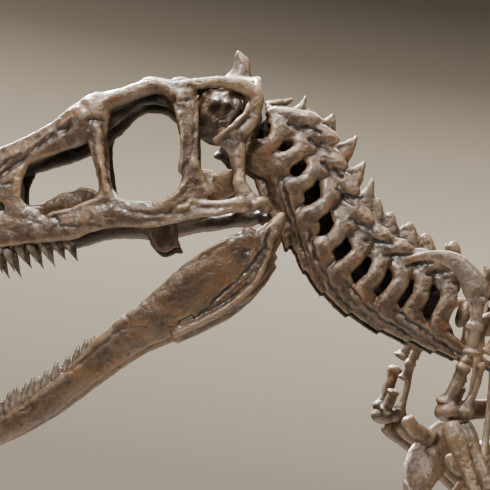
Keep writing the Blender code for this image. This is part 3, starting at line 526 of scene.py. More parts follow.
# ---------------------------------------------------------------- shading
class Value:
    """A number socket that takes part in Python expressions."""

    def __init__(self, graph: "Graph", socket: bpy.types.NodeSocket) -> None:
        """Wrap a socket of a graph."""
        self.graph = graph
        self.socket = socket

    def _math(self, operation: str, left: "Value | float", right: "Value | float") -> "Value":
        """A Math node on two values."""
        return self.graph.value("ShaderNodeMath", {"operation": operation}, {0: left, 1: right})

    def __add__(self, other: "Value | float") -> "Value":
        """Sum."""
        return self._math("ADD", self, other)

    def __mul__(self, other: "Value | float") -> "Value":
        """Product."""
        return self._math("MULTIPLY", self, other)

    __radd__ = __add__
    __rmul__ = __mul__

    def band(self, low: float, high: float) -> "Value":
        """0 below low, 1 above high and smooth between; low may be the larger."""
        return self.graph.value("ShaderNodeMapRange", {"interpolation_type": "SMOOTHSTEP"},
                                {"Value": self, "From Min": low, "From Max": high})


class Graph:
    """The nodes of one material."""

    def __init__(self, name: str) -> None:
        """Make the material and find its shader.

        Args:
            name: name of the material.
        """
        self.material = bpy.data.materials.new(name)
        self.material.use_nodes = True
        self.tree = self.material.node_tree
        self.shader = self.tree.nodes["Principled BSDF"]
        self.place = self.node("ShaderNodeTexCoord").outputs["Object"]

    def node(self, kind: str, settings: dict | None = None, inputs: dict | None = None) -> bpy.types.Node:
        """Make any node.

        Args:
            kind: the node's type.
            settings: attributes that are set first.
            inputs: value, socket or Value for each input.
        Returns:
            The node.
        """
        made = self.tree.nodes.new(kind)
        for key, setting in (settings or {}).items():
            setattr(made, key, setting)
        for key, given in (inputs or {}).items():
            if isinstance(given, Value):
                given = given.socket
            if isinstance(given, bpy.types.NodeSocket):
                self.tree.links.new(given, made.inputs[key])
            else:
                made.inputs[key].default_value = given
        return made

    def value(self, kind: str, settings: dict | None = None, inputs: dict | None = None) -> Value:
        """A node whose first output is used as a number."""
        return Value(self, self.node(kind, settings, inputs).outputs[0])

    def noise(self, scale: float, detail: float = 3.0, rough: float = 0.55, warp: float = 0.0) -> Value:
        """Fractal noise from 0 to 1 on the object's own place; scale is per metre."""
        return self.value("ShaderNodeTexNoise", {}, {"Vector": self.place, "Scale": scale, "Detail": detail,
                                                     "Roughness": rough, "Distortion": warp})

    def streaks(self, scale: float, stretch: Row) -> Value:
        """Noise drawn out along one direction."""
        mapped = self.node("ShaderNodeMapping", {}, {"Vector": self.place, "Scale": stretch}).outputs[0]
        return self.value("ShaderNodeTexNoise", {}, {"Vector": mapped, "Scale": scale, "Detail": 4.0})

    def attribute(self, name: str) -> Value:
        """A number stored on the mesh."""
        return Value(self, self.node("ShaderNodeAttribute", {"attribute_name": name}).outputs["Fac"])

    def mix(self, factor: Value, first: object, second: object) -> bpy.types.NodeSocket:
        """Colour between first and second."""
        return self.node("ShaderNodeMix", {"data_type": "RGBA", "clamp_factor": True},
                         {0: factor, 6: first, 7: second}).outputs[2]

    def bump(self, height: Value, distance: float, strength: float = 1.0) -> None:
        """Feed a height in metres to the shader's normal."""
        made = self.node("ShaderNodeBump", {}, {"Height": height, "Distance": distance,
                                                "Strength": strength})
        self.tree.links.new(made.outputs[0], self.shader.inputs["Normal"])

    def feed(self, socket: str, given: object) -> None:
        """Link or set one of the shader's sockets."""
        if isinstance(given, Value):
            given = given.socket
        if isinstance(given, bpy.types.NodeSocket):
            self.tree.links.new(given, self.shader.inputs[socket])
        else:
            self.shader.inputs[socket].default_value = given


@dataclass(frozen=True)
class BoneFinish:
    """Varnished, stained cast bone with painted shade in its hollows and painted highlights on its edges."""
    name: str = "bone"
    body: Row = (0.040, 0.021, 0.010, 1.0)
    tan: Row = (0.105, 0.061, 0.029, 1.0)
    rust: Row = (0.150, 0.045, 0.011, 1.0)
    grey: Row = (0.062, 0.050, 0.038, 1.0)
    dark: Row = (0.006, 0.004, 0.003, 1.0)
    highlight_and_speck: Row = (0.260, 0.180, 0.110, 1.0)

    def build(self) -> bpy.types.Material:
        """Make the material."""
        graph = Graph(self.name)
        hollow = graph.attribute("hollow")
        stain_and_shade = graph.attribute("stain_and_shade")
        cloud = graph.noise(22.0, 4.0, 0.6, 0.8)
        fleck = graph.noise(150.0, 4.0, 0.65)
        colour = graph.mix(cloud.band(0.40, 0.68), self.body, self.tan)
        colour = graph.mix(graph.noise(31.0, 5.0, 0.62, 1.2).band(0.54, 0.70) * 0.75, colour, self.grey)
        colour = graph.mix(graph.noise(43.0, 5.0, 0.65, 0.6).band(0.56, 0.72) * 0.8, colour, self.rust)
        colour = graph.mix(fleck.band(0.52, 0.72) * 0.35, colour, self.tan)
        colour = graph.mix(fleck.band(0.46, 0.30) * 0.45, colour, self.dark)
        # Painted highlight: convex edges lightened towards pale tan.
        colour = graph.mix(hollow.band(-0.4, -2.0) * 0.45, colour, self.highlight_and_speck)
        # Painted shade: hollows darkened almost to black.
        colour = graph.mix(hollow.band(0.1, 1.3) * 0.94, colour, self.dark)
        # Stain and painted shade: darker cracks and grooves, and painted shade on faces turned to the middle
        # plane.
        colour = graph.mix(stain_and_shade, colour, self.dark)
        speck = graph.noise(620.0, 2.0, 0.7)
        # Random pale and dark specks.
        colour = graph.mix(speck.band(0.56, 0.76) * 0.4, colour, self.highlight_and_speck)
        colour = graph.mix(speck.band(0.46, 0.28) * 0.6, colour, self.dark)
        graph.feed("Base Color", colour)
        graph.feed("Roughness", 0.28 + fleck * 0.22)
        graph.feed("Coat Weight", 0.3)
        graph.feed("Coat Roughness", 0.2)
        grain = graph.noise(300.0, 4.0, 0.6) * 0.25 + graph.noise(75.0, 5.0, 0.62, 0.8) * 0.75
        graph.bump(grain, 0.0030, 0.85)
        return graph.material


@dataclass(frozen=True)
class ToothFinish:
    """Grey-brown glossy tooth with dark blotches."""
    name: str = "tooth"
    body: Row = (0.150, 0.118, 0.090, 1.0)
    dark: Row = (0.030, 0.021, 0.015, 1.0)
    rough: float = 0.28

    def build(self) -> bpy.types.Material:
        """Make the material."""
        graph = Graph(self.name)
        blotch = graph.noise(160.0, 3.0)
        graph.feed("Base Color", graph.mix(blotch.band(0.62, 0.36) * 0.7, self.body, self.dark))
        graph.feed("Roughness", self.rough)
        graph.feed("Coat Weight", 0.3)
        graph.bump(graph.streaks(500.0, (1.0, 1.0, 0.25)), 0.0006, 0.6)
        return graph.material


@dataclass(frozen=True)
class BaseFinish:
    """Satin painted museum base."""
    name: str = "stand_base"
    body: Row = (0.045, 0.042, 0.040, 1.0)

    def build(self) -> bpy.types.Material:
        """Make the material."""
        graph = Graph(self.name)
        graph.feed("Base Color", self.body)
        graph.feed("Roughness", 0.42 + graph.noise(30.0) * 0.12)
        graph.bump(graph.noise(900.0, 2.0), 0.0002, 0.3)
        return graph.material


@dataclass(frozen=True)
class FloorFinish:
    """Plain pale floor."""
    name: str = "floor"
    body: Row = (0.56, 0.52, 0.46, 1.0)

    def build(self) -> bpy.types.Material:
        """Make the material."""
        graph = Graph(self.name)
        graph.feed("Base Color", self.body)
        graph.feed("Roughness", 0.8)
        return graph.material


@dataclass
class Finishes:
    """The materials that all pieces share."""
    bone: bpy.types.Material
    tooth: bpy.types.Material
    claw: bpy.types.Material
    base: bpy.types.Material
    floor: bpy.types.Material


def dress(piece: bpy.types.Object, finish: bpy.types.Material, slot: str, *nodes: str) -> None:
    """Give a piece its material, hang it on the root body, hide the CAD nodes that it replaces and log its
    face count.

    Args:
        piece: the finished object.
        finish: its material.
        slot: not used.
        nodes: CAD nodes that it replaces.
    """
    piece.data.materials.clear()
    piece.data.materials.append(finish)
    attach(piece, "root")
    if nodes:
        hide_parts(*nodes)
    LOG.info("%s: %d faces", piece.name, len(piece.data.polygons))


# ---------------------------------------------------------------- head
def tooth_template(blunt: float) -> bpy.types.Object:
    """One recurved, flattened tooth pointing up along Z, a metre high and a metre in half width.

    Args:
        blunt: half width of its tip.
    Returns:
        The object, at the origin.
    """
    bpy.ops.object.select_all(action="DESELECT")
    bpy.ops.mesh.primitive_cone_add(vertices=10, radius1=1, radius2=blunt, depth=1, location=(0, 0, 0.5))
    made = bpy.context.active_object
    bpy.ops.object.transform_apply(location=True, rotation=True, scale=True)
    bpy.ops.object.mode_set(mode="EDIT")
    for height in (0.3, 0.55, 0.8):
        bpy.ops.mesh.select_all(action="SELECT")
        bpy.ops.mesh.bisect(plane_co=(0, 0, height), plane_no=(0, 0, 1))
    bpy.ops.object.mode_set(mode="OBJECT")
    for vertex in made.data.vertices:
        share = vertex.co.z
        swell = 1 + 0.55 * math.sin(math.pi * min(share * 1.15, 1.0))
        vertex.co.x = vertex.co.x * swell + 0.9 * share**2
        vertex.co.y *= 0.62 * swell
    bpy.ops.object.shade_smooth()
    return made


def tooth_row(name: str, roots: Sequence[tuple[np.ndarray, np.ndarray, float]], radius: float,
              blunt: float) -> bpy.types.Object:
    """Teeth joined into one piece.

    Args:
        name: name of the piece.
        roots: root place, direction and length of each tooth, in millimetres from the jaw joint.
        radius: half of a tooth's fore-and-aft length.
        blunt: share of that half width left at the tip.
    Returns:
        The joined teeth.
    """
    template = tooth_template(blunt)
    teeth = []
    for root, way, length in roots:
        tooth = template.copy()
        tooth.data = template.data.copy()
        bpy.context.scene.collection.objects.link(tooth)
        aim = Vector(way).normalized()
        back = Vector((1.0, 0.0, 0.0))
        back = (back - aim * back.dot(aim)).normalized()
        lateral = aim.cross(back)
        turn = Matrix((back, lateral, aim)).transposed()
        size = Matrix.Diagonal((radius * MM, radius * MM, length * MM))
        place = Vector(JAW_JOINT) + Vector(root) * MM
        tooth.data.transform(Matrix.Translation(place) @ (turn @ size).to_4x4())
        teeth.append(tooth)
    bpy.data.objects.remove(template)
    with_selected(*teeth)
    bpy.ops.object.join()
    made = bpy.context.active_object
    made.name = name
    outward(made)
    return made


# The first two lines have no depth and only paint shade inside the eye and temple openings; the stain share
# of the others darkens their grooves, partly as stain and partly as painted shade.
SKULL_LINES = (
    Engraving(((-188, 92), (-165, 106), (-146, 118), (-128, 125), (-104, 123), (-88, 112)), 15.0, 0.0, 1.25,
              10, 36),
    Engraving(((-60, 128), (-30, 126), (-20, 108), (-30, 92), (-56, 88), (-74, 108)), 9.0, 0.0, 0.9, 8, 38),
    Engraving(((-150, -3), (-126, -11), (-100, -8), (-84, 2)), 3.4, 2.6, 0.35, 46),
    Engraving(((-76, -2), (-50, -5), (-30, -2)), 2.6, 1.8, 0.4, 46),
    Engraving(((-286, 34), (-266, 50), (-251, 61), (-221, 83), (-203, 94)), 3.2, 3.2, 0.75),
    Engraving(((-287, 44), (-278, 51), (-264, 58)), 1.6, 1.6, 0.8),
    Engraving(((-188, 92), (-184, 66), (-181, 48), (-175, 26)), 2.0, 1.8, 0.55, 36),
    Engraving(((-179, 90), (-177, 66), (-176, 46), (-170, 18)), 2.2, -1.6, 0.0, 36),
    Engraving(((-172, 92), (-170, 62), (-168, 44), (-162, 16)), 2.0, 2.2, 0.8, 36),
    Engraving(((-187, 94), (-176, 94)), 3.2, 5.0, 0.95, 30),
    Engraving(((-209, 90), (-213, 86)), 3.5, 5.0, 0.95, 28),
    Engraving(((-227, -8), (-221, -16), (-219, -22), (-210, -31)), 0.9, 1.6, 0.9),
    Engraving(((-75, 98), (-73, 84), (-74, 71), (-75, 57), (-80, 45), (-88, 37)), 1.2, 2.2, 0.9, 40),
    Engraving(((-72, 96), (-69, 70)), 1.6, -0.8, 0.0, 40),
    Engraving(((-71, 20), (-66, 13)), 2.6, 1.6, 0.45, 44),
    Engraving(((-215, -23), (-190, -21), (-180, -22), (-145, -25)), 1.3, 2.4, 0.9, 30),
    Engraving(((-189, -7), (-184, -14), (-180, -17)), 1.4, 1.8, 0.85, 30),
    Engraving(((-168, -14), (-156, -15)), 1.3, 1.8, 0.8, 30),
    Engraving(((-232, -13), (-215, -10), (-196, -4)), 1.0, 1.2, 0.7, 30),
    Engraving(((-162, 3), (-132, -7), (-100, -8), (-80, -3)), 2.0, -1.0, 0.0, 40),
    Engraving(((-150, -16), (-110, -19), (-80, -15)), 1.6, 1.0, 0.35, 40),
    Engraving(((-120, 2), (-104, 0)), 3.0, 1.2, 0.35, 40),
    Engraving(((-165, 103), (-158, 110)), 1.2, 1.4, 0.7, 30),
    Engraving(((-96, 118), (-88, 112), (-80, 112)), 1.8, 1.6, 0.5, 36),
    Engraving(((-80, 129),), 3.0, 2.6, 0.8, 36),
    Engraving(((-70, 134),), 2.2, 2.0, 0.8, 36),
    Engraving(((-58, 131),), 2.4, 2.0, 0.8, 36),
    Engraving(((-47, 133),), 1.8, 1.6, 0.8, 36),
    Engraving(((-14, 104), (-16, 92)), 1.4, 1.2, 0.6, 40),
    Engraving(((-27, 66), (-27, 48)), 1.6, 1.2, 0.3, 40),
    Engraving(((-300, 30), (-282, 24), (-272, 26)), 1.4, 1.2, 0.6),
    Engraving(((-290, -18), (-270, -17), (-250, -19)), 1.2, -0.8, 0.0, 26),
    Engraving(((-262, 44), (-270, 20), (-268, 0), (-258, -8)), 1.4, -1.3, 0.0, 26),
    *(Engraving(((-392 + 14 * i, -46 + 1.9 * i),), 1.4, 1.5, 0.75, 8) for i in range(13)),
)


@dataclass
class Skull:
    """Skull with its openings, palate, braincase and upper teeth."""
    surface: Surface = Surface(voxel=1.96, rounds=2, wave=0.9, grain=0.35, inside=0.8,
                               engravings=SKULL_LINES)
    teeth: int = 15
    first_tooth: float = -396.0
    pitch: float = 12.9
    half_widths: Row = (8, 27, 38, 48, 56, 58)

    def half_width(self, x: float) -> float:
        """Half width of the upper jaw at a distance along the skull."""
        return value_on(self.half_widths, (x + 405) / 405)

    def snout(self, form: Sculpt) -> None:
        """Solid snout, roof and nasal margin."""
        form.loft(((-403, 0, -40, 15, 8), (-388, 0, -27, 31, 14), (-360, 0, -15, 42, 20),
                   (-325, 0, -5, 47, 25), (-292, 0, 4, 50, 30), (-274, 0, 4, 44, 30)))
        form.pair(((-330, 24, -6, 44, 6), (-300, 31, 4, 50, 5.5), (-275, 35, 6, 48, 5),
                   (-264, 36, 6, 40, 4.5)))
        form.loft(((-400, 0, -30, 9, 8), (-385, 0, 0, 8, 14), (-355, 0, 27, 7, 19), (-320, 0, 46, 7, 23),
                   (-287, 0, 54, 7, 27), (-250, 0, 68, 7, 30), (-222, 0, 85, 7, 34), (-198, 0, 105, 8, 40),
                   (-176, 0, 114, 8, 43), (-150, 0, 123, 7, 41), (-122, 0, 137, 7, 42),
                   (-104, 0, 136, 7, 46),
                   (-78, 0, 140, 7, 34), (-55, 0, 142, 7, 20), (-32, 0, 145, 7, 26), (-12, 0, 138, 8, 42)),
                   sides=20)
        form.pair(((-285, 32, 50, 10, 5), (-250, 36, 62, 12, 6), (-225, 39, 74, 16, 7),
                   (-204, 42, 86, 20, 8), (-188, 44, 98, 20, 9)))
        form.pair(((-292, 29, 62, 3.5, 3.5), (-262, 33, 73, 4, 4), (-232, 37, 88, 4, 4),
                   (-206, 41, 107, 4.5, 4.5),
                   (-188, 43, 119, 5, 5), (-172, 43, 122, 5, 5), (-160, 42, 126, 4, 4)))
        # strut between the two front openings, thin plate with a rolled edge
        form.pair(((-262, 35, 48, 8, 3.5), (-269, 36, 30, 8, 3.5), (-271, 37, 10, 9, 3.5),
                   (-262, 38, -6, 12, 4),
                   (-246, 39, -14, 12, 4.5)))

    def orbit(self, form: Sculpt) -> None:
        """Bars and brows round the eye opening."""
        form.pair(((-180, 44, 114, 17, 9), (-181, 45, 94, 15, 8), (-180, 45, 74, 11, 7),
                   (-177, 46, 54, 8.5, 6),
                   (-173, 47, 36, 7.5, 6), (-170, 47, 20, 8.5, 6), (-170, 47, 8, 13, 6),
                   (-170, 47, -4, 18, 5)))
        form.pair(((-187, 47, 116, 7, 6), (-182, 49, 100, 5, 4), (-179, 49.5, 80, 3.5, 3),
                   (-175, 50, 50, 3, 3),
                   (-169, 51, 22, 3.5, 3), (-163, 51, 6, 5, 3)))
        form.pair(((-176, 40, 98, 8, 5), (-175, 39, 76, 7, 5), (-172, 40, 50, 6, 4.5),
                   (-168, 42, 24, 5.5, 4),
                   (-160, 45, 6, 6, 4)))
        form.pair(((-188, 42, 110, 12, 10), (-160, 42, 119, 10, 10), (-138, 42, 127, 9, 10),
                   (-118, 45, 133, 9, 10), (-100, 50, 128, 11, 9), (-85, 54, 116, 13, 8)))
        form.pair(((-166, 47, 112, 4, 4), (-146, 48, 122, 4, 4), (-124, 49, 132, 4.5, 5),
                   (-108, 53, 131, 4.5, 4),
                   (-94, 57, 121, 4.5, 4), (-84, 59, 110, 5, 4)))
        form.lumps((-121, 44, 139), (10, 7, 5))
        form.lump((-90, 0, 146), (12, 9, 6))
        form.lumps((-92, 40, 138), (8, 8, 5))
        # inner wall of the roof, seen through the orbit
        form.pair(((-184, 34, 96, 20, 4), (-165, 30, 106, 16, 4), (-146, 26, 118, 11, 4),
                   (-128, 24, 125, 10, 4),
                   (-104, 28, 123, 11, 4), (-86, 38, 114, 14, 5)))
        form.pair(((-84, 54, 124, 13, 8), (-81, 55, 106, 12.5, 7), (-79, 56, 90, 10.5, 6),
                   (-78, 56, 72, 9, 6),
                   (-77, 57, 54, 8.5, 6), (-76, 57, 38, 10, 6), (-75, 57, 24, 14, 5.5), (-73, 57, 8, 21, 5)))
        form.pair(((-93, 57, 112, 5, 4), (-90, 59, 96, 3.5, 3), (-87, 60, 78, 3, 3), (-86, 60, 58, 3, 3),
                   (-88, 60, 42, 3, 3), (-90, 59, 34, 2, 2)))

    def temple(self, form: Sculpt) -> None:
        """Upper temporal bar, squamosal and quadrate."""
        form.pair(((-92, 53, 128, 9, 7), (-70, 55, 133, 7, 6), (-45, 54, 135, 6, 6), (-22, 53, 131, 8.5, 6),
                   (-8, 52, 121, 9, 6), (-7, 52, 104, 7.5, 6), (-12, 52, 90, 7, 6), (-24, 51, 78, 7, 6)))
        form.pair(((-12, 54, 112, 3.5, 3.5), (-19, 56, 99, 3, 3), (-30, 56, 88, 3, 3), (-42, 56, 79, 3, 3),
                   (-52, 53, 71, 2.5, 2.5)))
        form.pair(((-32, 50, 79, 8, 8), (-27, 51, 66, 8.5, 7), (-25, 52, 50, 7.5, 6.5),
                   (-25, 53, 34, 7, 6.5),
                   (-24, 55, 22, 8, 7), (-17, 55, 8, 10, 8), (-6, 54, -2, 8, 12)))
        form.pair(((-30, 49, 82, 18, 5), (-32, 49, 73, 18, 5.5), (-30, 50, 64, 13, 6), (-28, 51, 54, 9.5, 6),
                   (-27, 52, 42, 7.5, 6)))
        form.lumps((-49, 49, 71), (6, 5, 5))
        form.lumps((-36, 52, 80), (5, 4, 4))

    def cheek(self, form: Sculpt) -> None:
        """Upper jaw, cheek bar and jaw joint."""
        form.pair(((-292, 32, -20, 25, 6), (-262, 36, -20, 22, 6), (-235, 39, -24, 15, 7),
                   (-208, 42, -21, 15, 8),
                   (-180, 46, -12, 15, 8), (-150, 49, -8, 14, 8), (-118, 53, -10, 14, 7),
                   (-90, 56, -4, 14, 7),
                   (-64, 58, -4, 9.5, 6), (-40, 58, -3, 8.5, 6), (-20, 57, 1, 9, 7), (-8, 55, -2, 8, 8)))
        form.pair(((-232, 42, -9, 3, 3), (-205, 45, -4, 3.5, 3), (-184, 49, 4, 4, 3), (-166, 51, 7, 4, 3),
                   (-140, 53, 3, 3, 3), (-112, 57, 2, 3, 3), (-96, 60, 8, 3, 3), (-86, 61, 20, 3, 3)))
        form.pair(((-196, 46, -24, 3, 3), (-160, 51, -21, 3.5, 3), (-130, 54, -22, 3.5, 3),
                   (-108, 58, -20, 4, 3),
                   (-80, 61, -14, 3.5, 3), (-56, 62, -11, 3, 3), (-34, 61, -7, 3, 3), (-16, 60, -6, 4, 4)))
        form.lumps((-2, 52, 2), (9, 13, 8))
        form.lumps((4, 47, -3), (7, 12, 7))

    def palate(self, form: Sculpt) -> None:
        """Pterygoids with their flanges, and palatines."""
        form.pair(((-24, 50, 32, 12, 4), (-45, 36, 18, 12, 4), (-70, 24, 4, 11, 4), (-100, 20, -6, 8, 5),
                   (-150, 14, -4, 7, 5), (-205, 12, 0, 7, 5), (-272, 12, 0, 7, 5)))
        form.pair(((-112, 24, -6, 19, 5), (-110, 25, -24, 18, 4.5), (-106, 26, -36, 15, 4),
                   (-102, 27, -45, 9, 4)))
        form.pair(((-98, 27, -20, 4, 3.5), (-95, 28, -34, 4, 3.5), (-90, 29, -43, 3.5, 3)))
        form.pair(((-72, 26, 24, 12, 3), (-65, 27, 26, 19, 3), (-58, 29, 24, 19, 3), (-50, 31, 20, 13, 3),
                   (-42, 34, 24, 14, 3), (-34, 37, 28, 16, 3), (-26, 42, 28, 12, 4)), steps=3)
        form.pair(((-236, 14, 3, 7, 5), (-215, 20, 9, 10, 5), (-192, 26, 11, 11, 5), (-176, 40, 4, 9, 6)))
        form.pair(((-234, 16, 6, 4, 3), (-226, 18, 12, 3.5, 3), (-216, 21, 17, 3, 3), (-208, 23, 16, 2, 3)))
        form.pair(((-206, 24, 18, 3, 3), (-198, 26, 21, 3.5, 3), (-188, 30, 20, 3, 3), (-180, 34, 15, 3, 3)))

    def back(self, form: Sculpt) -> None:
        """Braincase with its blistered side wall, back of the head and crest."""
        form.lump((-46, 0, 108), (35, 29, 31))
        form.lump((-44, 0, 90), (28, 16, 16))
        rng = np.random.default_rng(7)
        for _ in range(130):
            turn, rise = rng.uniform(0, 2 * math.pi), rng.uniform(-0.9, 0.9)
            x = -46 + 34 * math.cos(turn)
            z = 108 + 30 * math.sin(turn)
            pull = rng.uniform(0.35, 0.95)
            size = rng.uniform(1.8, 4.6)
            form.lumps((-46 + (x + 46) * pull, 28 * math.sqrt(max(1 - pull**2, 0.16)) + rise,
                        108 + (z - 108) * pull),
                       (size, size * 0.8, size))
        form.loft(((-14, 0, 146, 7, 34), (-13, 0, 125, 7, 40), (-12, 0, 105, 8, 38), (-12, 0, 85, 9, 30),
                   (-16, 0, 66, 8, 18)), sides=20)
        form.pair(((-14, 18, 98, 9, 6), (-12, 36, 94, 9, 5), (-12, 50, 86, 8, 5)), flat=ALONG)
        form.loft(((-26, 0, 142, 19, 9), (-22, 0, 152, 12, 6), (-20, 0, 163, 8.5, 4.5),
                   (-21, 0, 171, 6.5, 3.5),
                   (-24, 0, 177, 4.4, 2.6), (-28, 0, 182, 2.2, 2)))
        form.loft(((-62, 0, 143, 3, 5), (-46, 0, 147, 3.5, 4), (-35, 0, 155, 3.5, 3), (-29, 0, 166, 3, 2.5),
                   (-29, 0, 178, 2, 2)))
        form.pair(((-6, 20, 144, 4, 4), (-5, 36, 141, 4, 4), (-5, 48, 130, 4.5, 4), (-4, 53, 116, 4, 4),
                   (-5, 53, 102, 4, 4)))

    def build(self, finishes: Finishes) -> None:
        """Build and dress the skull and its teeth."""
        form = Sculpt()
        for part in (self.snout, self.orbit, self.temple, self.cheek, self.palate, self.back):
            part(form)
        holes = Sculpt()
        holes.loft(((-291, -60, -1, 8, 10), (-291, 0, -1, 8, 10), (-291, 60, -1, 8, 10)), flat=ALONG)
        holes.loft(((-368, -60, 6, 8, 15), (-368, 0, 6, 8, 15), (-368, 60, 6, 8, 15)), flat=ALONG)
        dress(form.fuse("skull_bone", self.surface, holes), finishes.bone, "bone", "skull")
        roots = []
        for side in PAIR:
            for i in range(self.teeth):
                x = self.first_tooth + i * self.pitch
                root_z = value_on((-61, -56, -45, -36), (x + 400) / 195)
                length = (16 + 13 * math.sin(math.pi * min((i + 2.5) / self.teeth, 1.0))) * (1.0, 0.72,
                                                                                             0.9)[i % 3]
                y = side * (self.half_width(x) - 4) * (0.8 if x < -300 else 1.0)
                roots.append((vec(x, y * 0.97, root_z + 8), vec(0.20, side * 0.06, -1), length + 8))
        dress(tooth_row("upper_teeth", roots, 5.0, 0.12), finishes.tooth, "tooth")


# The stain share of each line darkens its groove, partly as stain and partly as painted shade.
JAW_LINES = (
    Engraving(((8, -27), (4, -42), (-7, -61), (-24, -80), (-44, -96), (-61, -112), (-70, -119)), 1.5, 3.4,
              0.95, 26),
    Engraving(((14, -30), (10, -46), (-1, -66), (-18, -85), (-38, -101)), 1.8, -1.2, 0.0, 26),
    Engraving(((-16, -51), (-19, -57)), 4.2, 4.6, 0.9, 26),
    Engraving(((-122, -98), (-122, -108), (-116, -117), (-110, -126), (-96, -131)), 0.9, 1.3, 0.75, 20),
    Engraving(((-148, -119), (-140, -123), (-143, -132), (-125, -132)), 1.0, 1.8, 0.9, 20),
    Engraving(((-186, -146), (-162, -129), (-146, -117), (-126, -101)), 2.6, -1.5, 0.0, 20),
    Engraving(((-231, -188), (-192, -166), (-162, -142), (-146, -128)), 1.8, 1.4, 0.5, 16),
    Engraving(((-290, -236), (-262, -222), (-232, -205), (-208, -188)), 1.2, 1.0, 0.45, 8),
    Engraving(((-200, -186), (-160, -160), (-120, -146)), 2.4, 0.8, 0.3, 16),
    Engraving(((-90, -70), (-60, -52), (-34, -36)), 3.2, 1.0, 0.25, 26),
    Engraving(((-84, -88), (-60, -72)), 3.0, 0.9, 0.3, 26),
    *(Engraving(((x, z),), 1.5, 1.9, 0.9, 8) for x, z in (
        (-292, -238), (-273, -228), (-254, -218), (-243, -212), (-231, -205), (-210, -190), (-192, -178),
        (-237, -230), (-145, -160), (-104, -85), (-176, -163))),
)


@dataclass
class LowerJaw:
    """Lower jaw, held open, with its teeth."""
    surface: Surface = Surface(voxel=1.7, rounds=3, wave=0.7, grain=0.3, engravings=JAW_LINES)
    teeth: int = 17
    roll: float = 13.0

    def build(self, finishes: Finishes) -> None:
        """Build and dress the jaw and its teeth."""
        form = Sculpt()
        form.pair(((2, 48, -40, 23, 8), (-22, 47, -61, 32, 7), (-48, 46, -77, 33, 7), (-67, 46, -90, 31, 7),
                   (-100, 43, -115, 26, 7), (-135, 40, -134, 22, 7), (-171, 35, -160, 19, 7),
                   (-197, 30, -183, 16, 7), (-240, 23, -216, 15, 7), (-276, 16, -237, 14, 7),
                   (-304, 10, -251, 12, 7), (-322, 5, -258, 8, 6)), roll=self.roll, sides=18)
        form.pair(((0, 51, -40, 14, 8), (10, 51, -28, 11, 8), (18, 50, -17, 8, 7), (22, 50, -9, 4, 5)))
        form.pair(((-14, 51, -36, 9, 6), (-17, 51, -24, 5, 5)))
        form.pair(((8, 50, -52, 4, 5), (-8, 50, -84, 4, 5), (-34, 48, -108, 4, 5), (-62, 45, -124, 4, 5),
                   (-96, 42, -140, 4, 5)))
        form.pair(((-30, 53, -34, 3, 3), (-60, 54, -50, 3, 3), (-88, 51, -70, 3, 3), (-110, 47, -90, 3, 3),
                   (-128, 44, -106, 3, 3)))
        form.loft(((-330, 0, -262, 8, 7), (-306, 0, -252, 9, 12), (-286, 0, -246, 6, 15)))
        holes = Sculpt()
        holes.loft(((-82, -70, -124, 3, 10), (-82, 0, -124, 3, 10), (-82, 70, -124, 3, 10)),
                   flat=(0.9, 0.0, 0.4))
        dress(form.fuse("lower_jaw_bone", self.surface, holes), finishes.bone, "bone", "lower_jaw")
        line = smooth_rows(((-316, 7, -246), (-276, 18, -222), (-240, 26, -198), (-187, 34, -155)), 40)
        roots = []
        for side in PAIR:
            for i in range(self.teeth):
                x, y, z = line[round(i / (self.teeth - 1) * (len(line) - 1))]
                length = (29 - 12 * i / (self.teeth - 1)) * (1.0, 0.84, 0.95)[i % 3]
                roots.append((vec(x + 3, side * y, z - 6), vec(-0.10, 0, 1), length + 6))
        dress(tooth_row("lower_teeth", roots, 4.2, 0.55), finishes.tooth, "tooth")


# ---------------------------------------------------------------- backbone
@dataclass(frozen=True)
class NeckBone:
    """One neck vertebra: its centre, the leans of its pillar and spine in degrees, and the spine's reach."""
    x: float
    z: float
    lean: float
    spine_lean: float
    reach: float


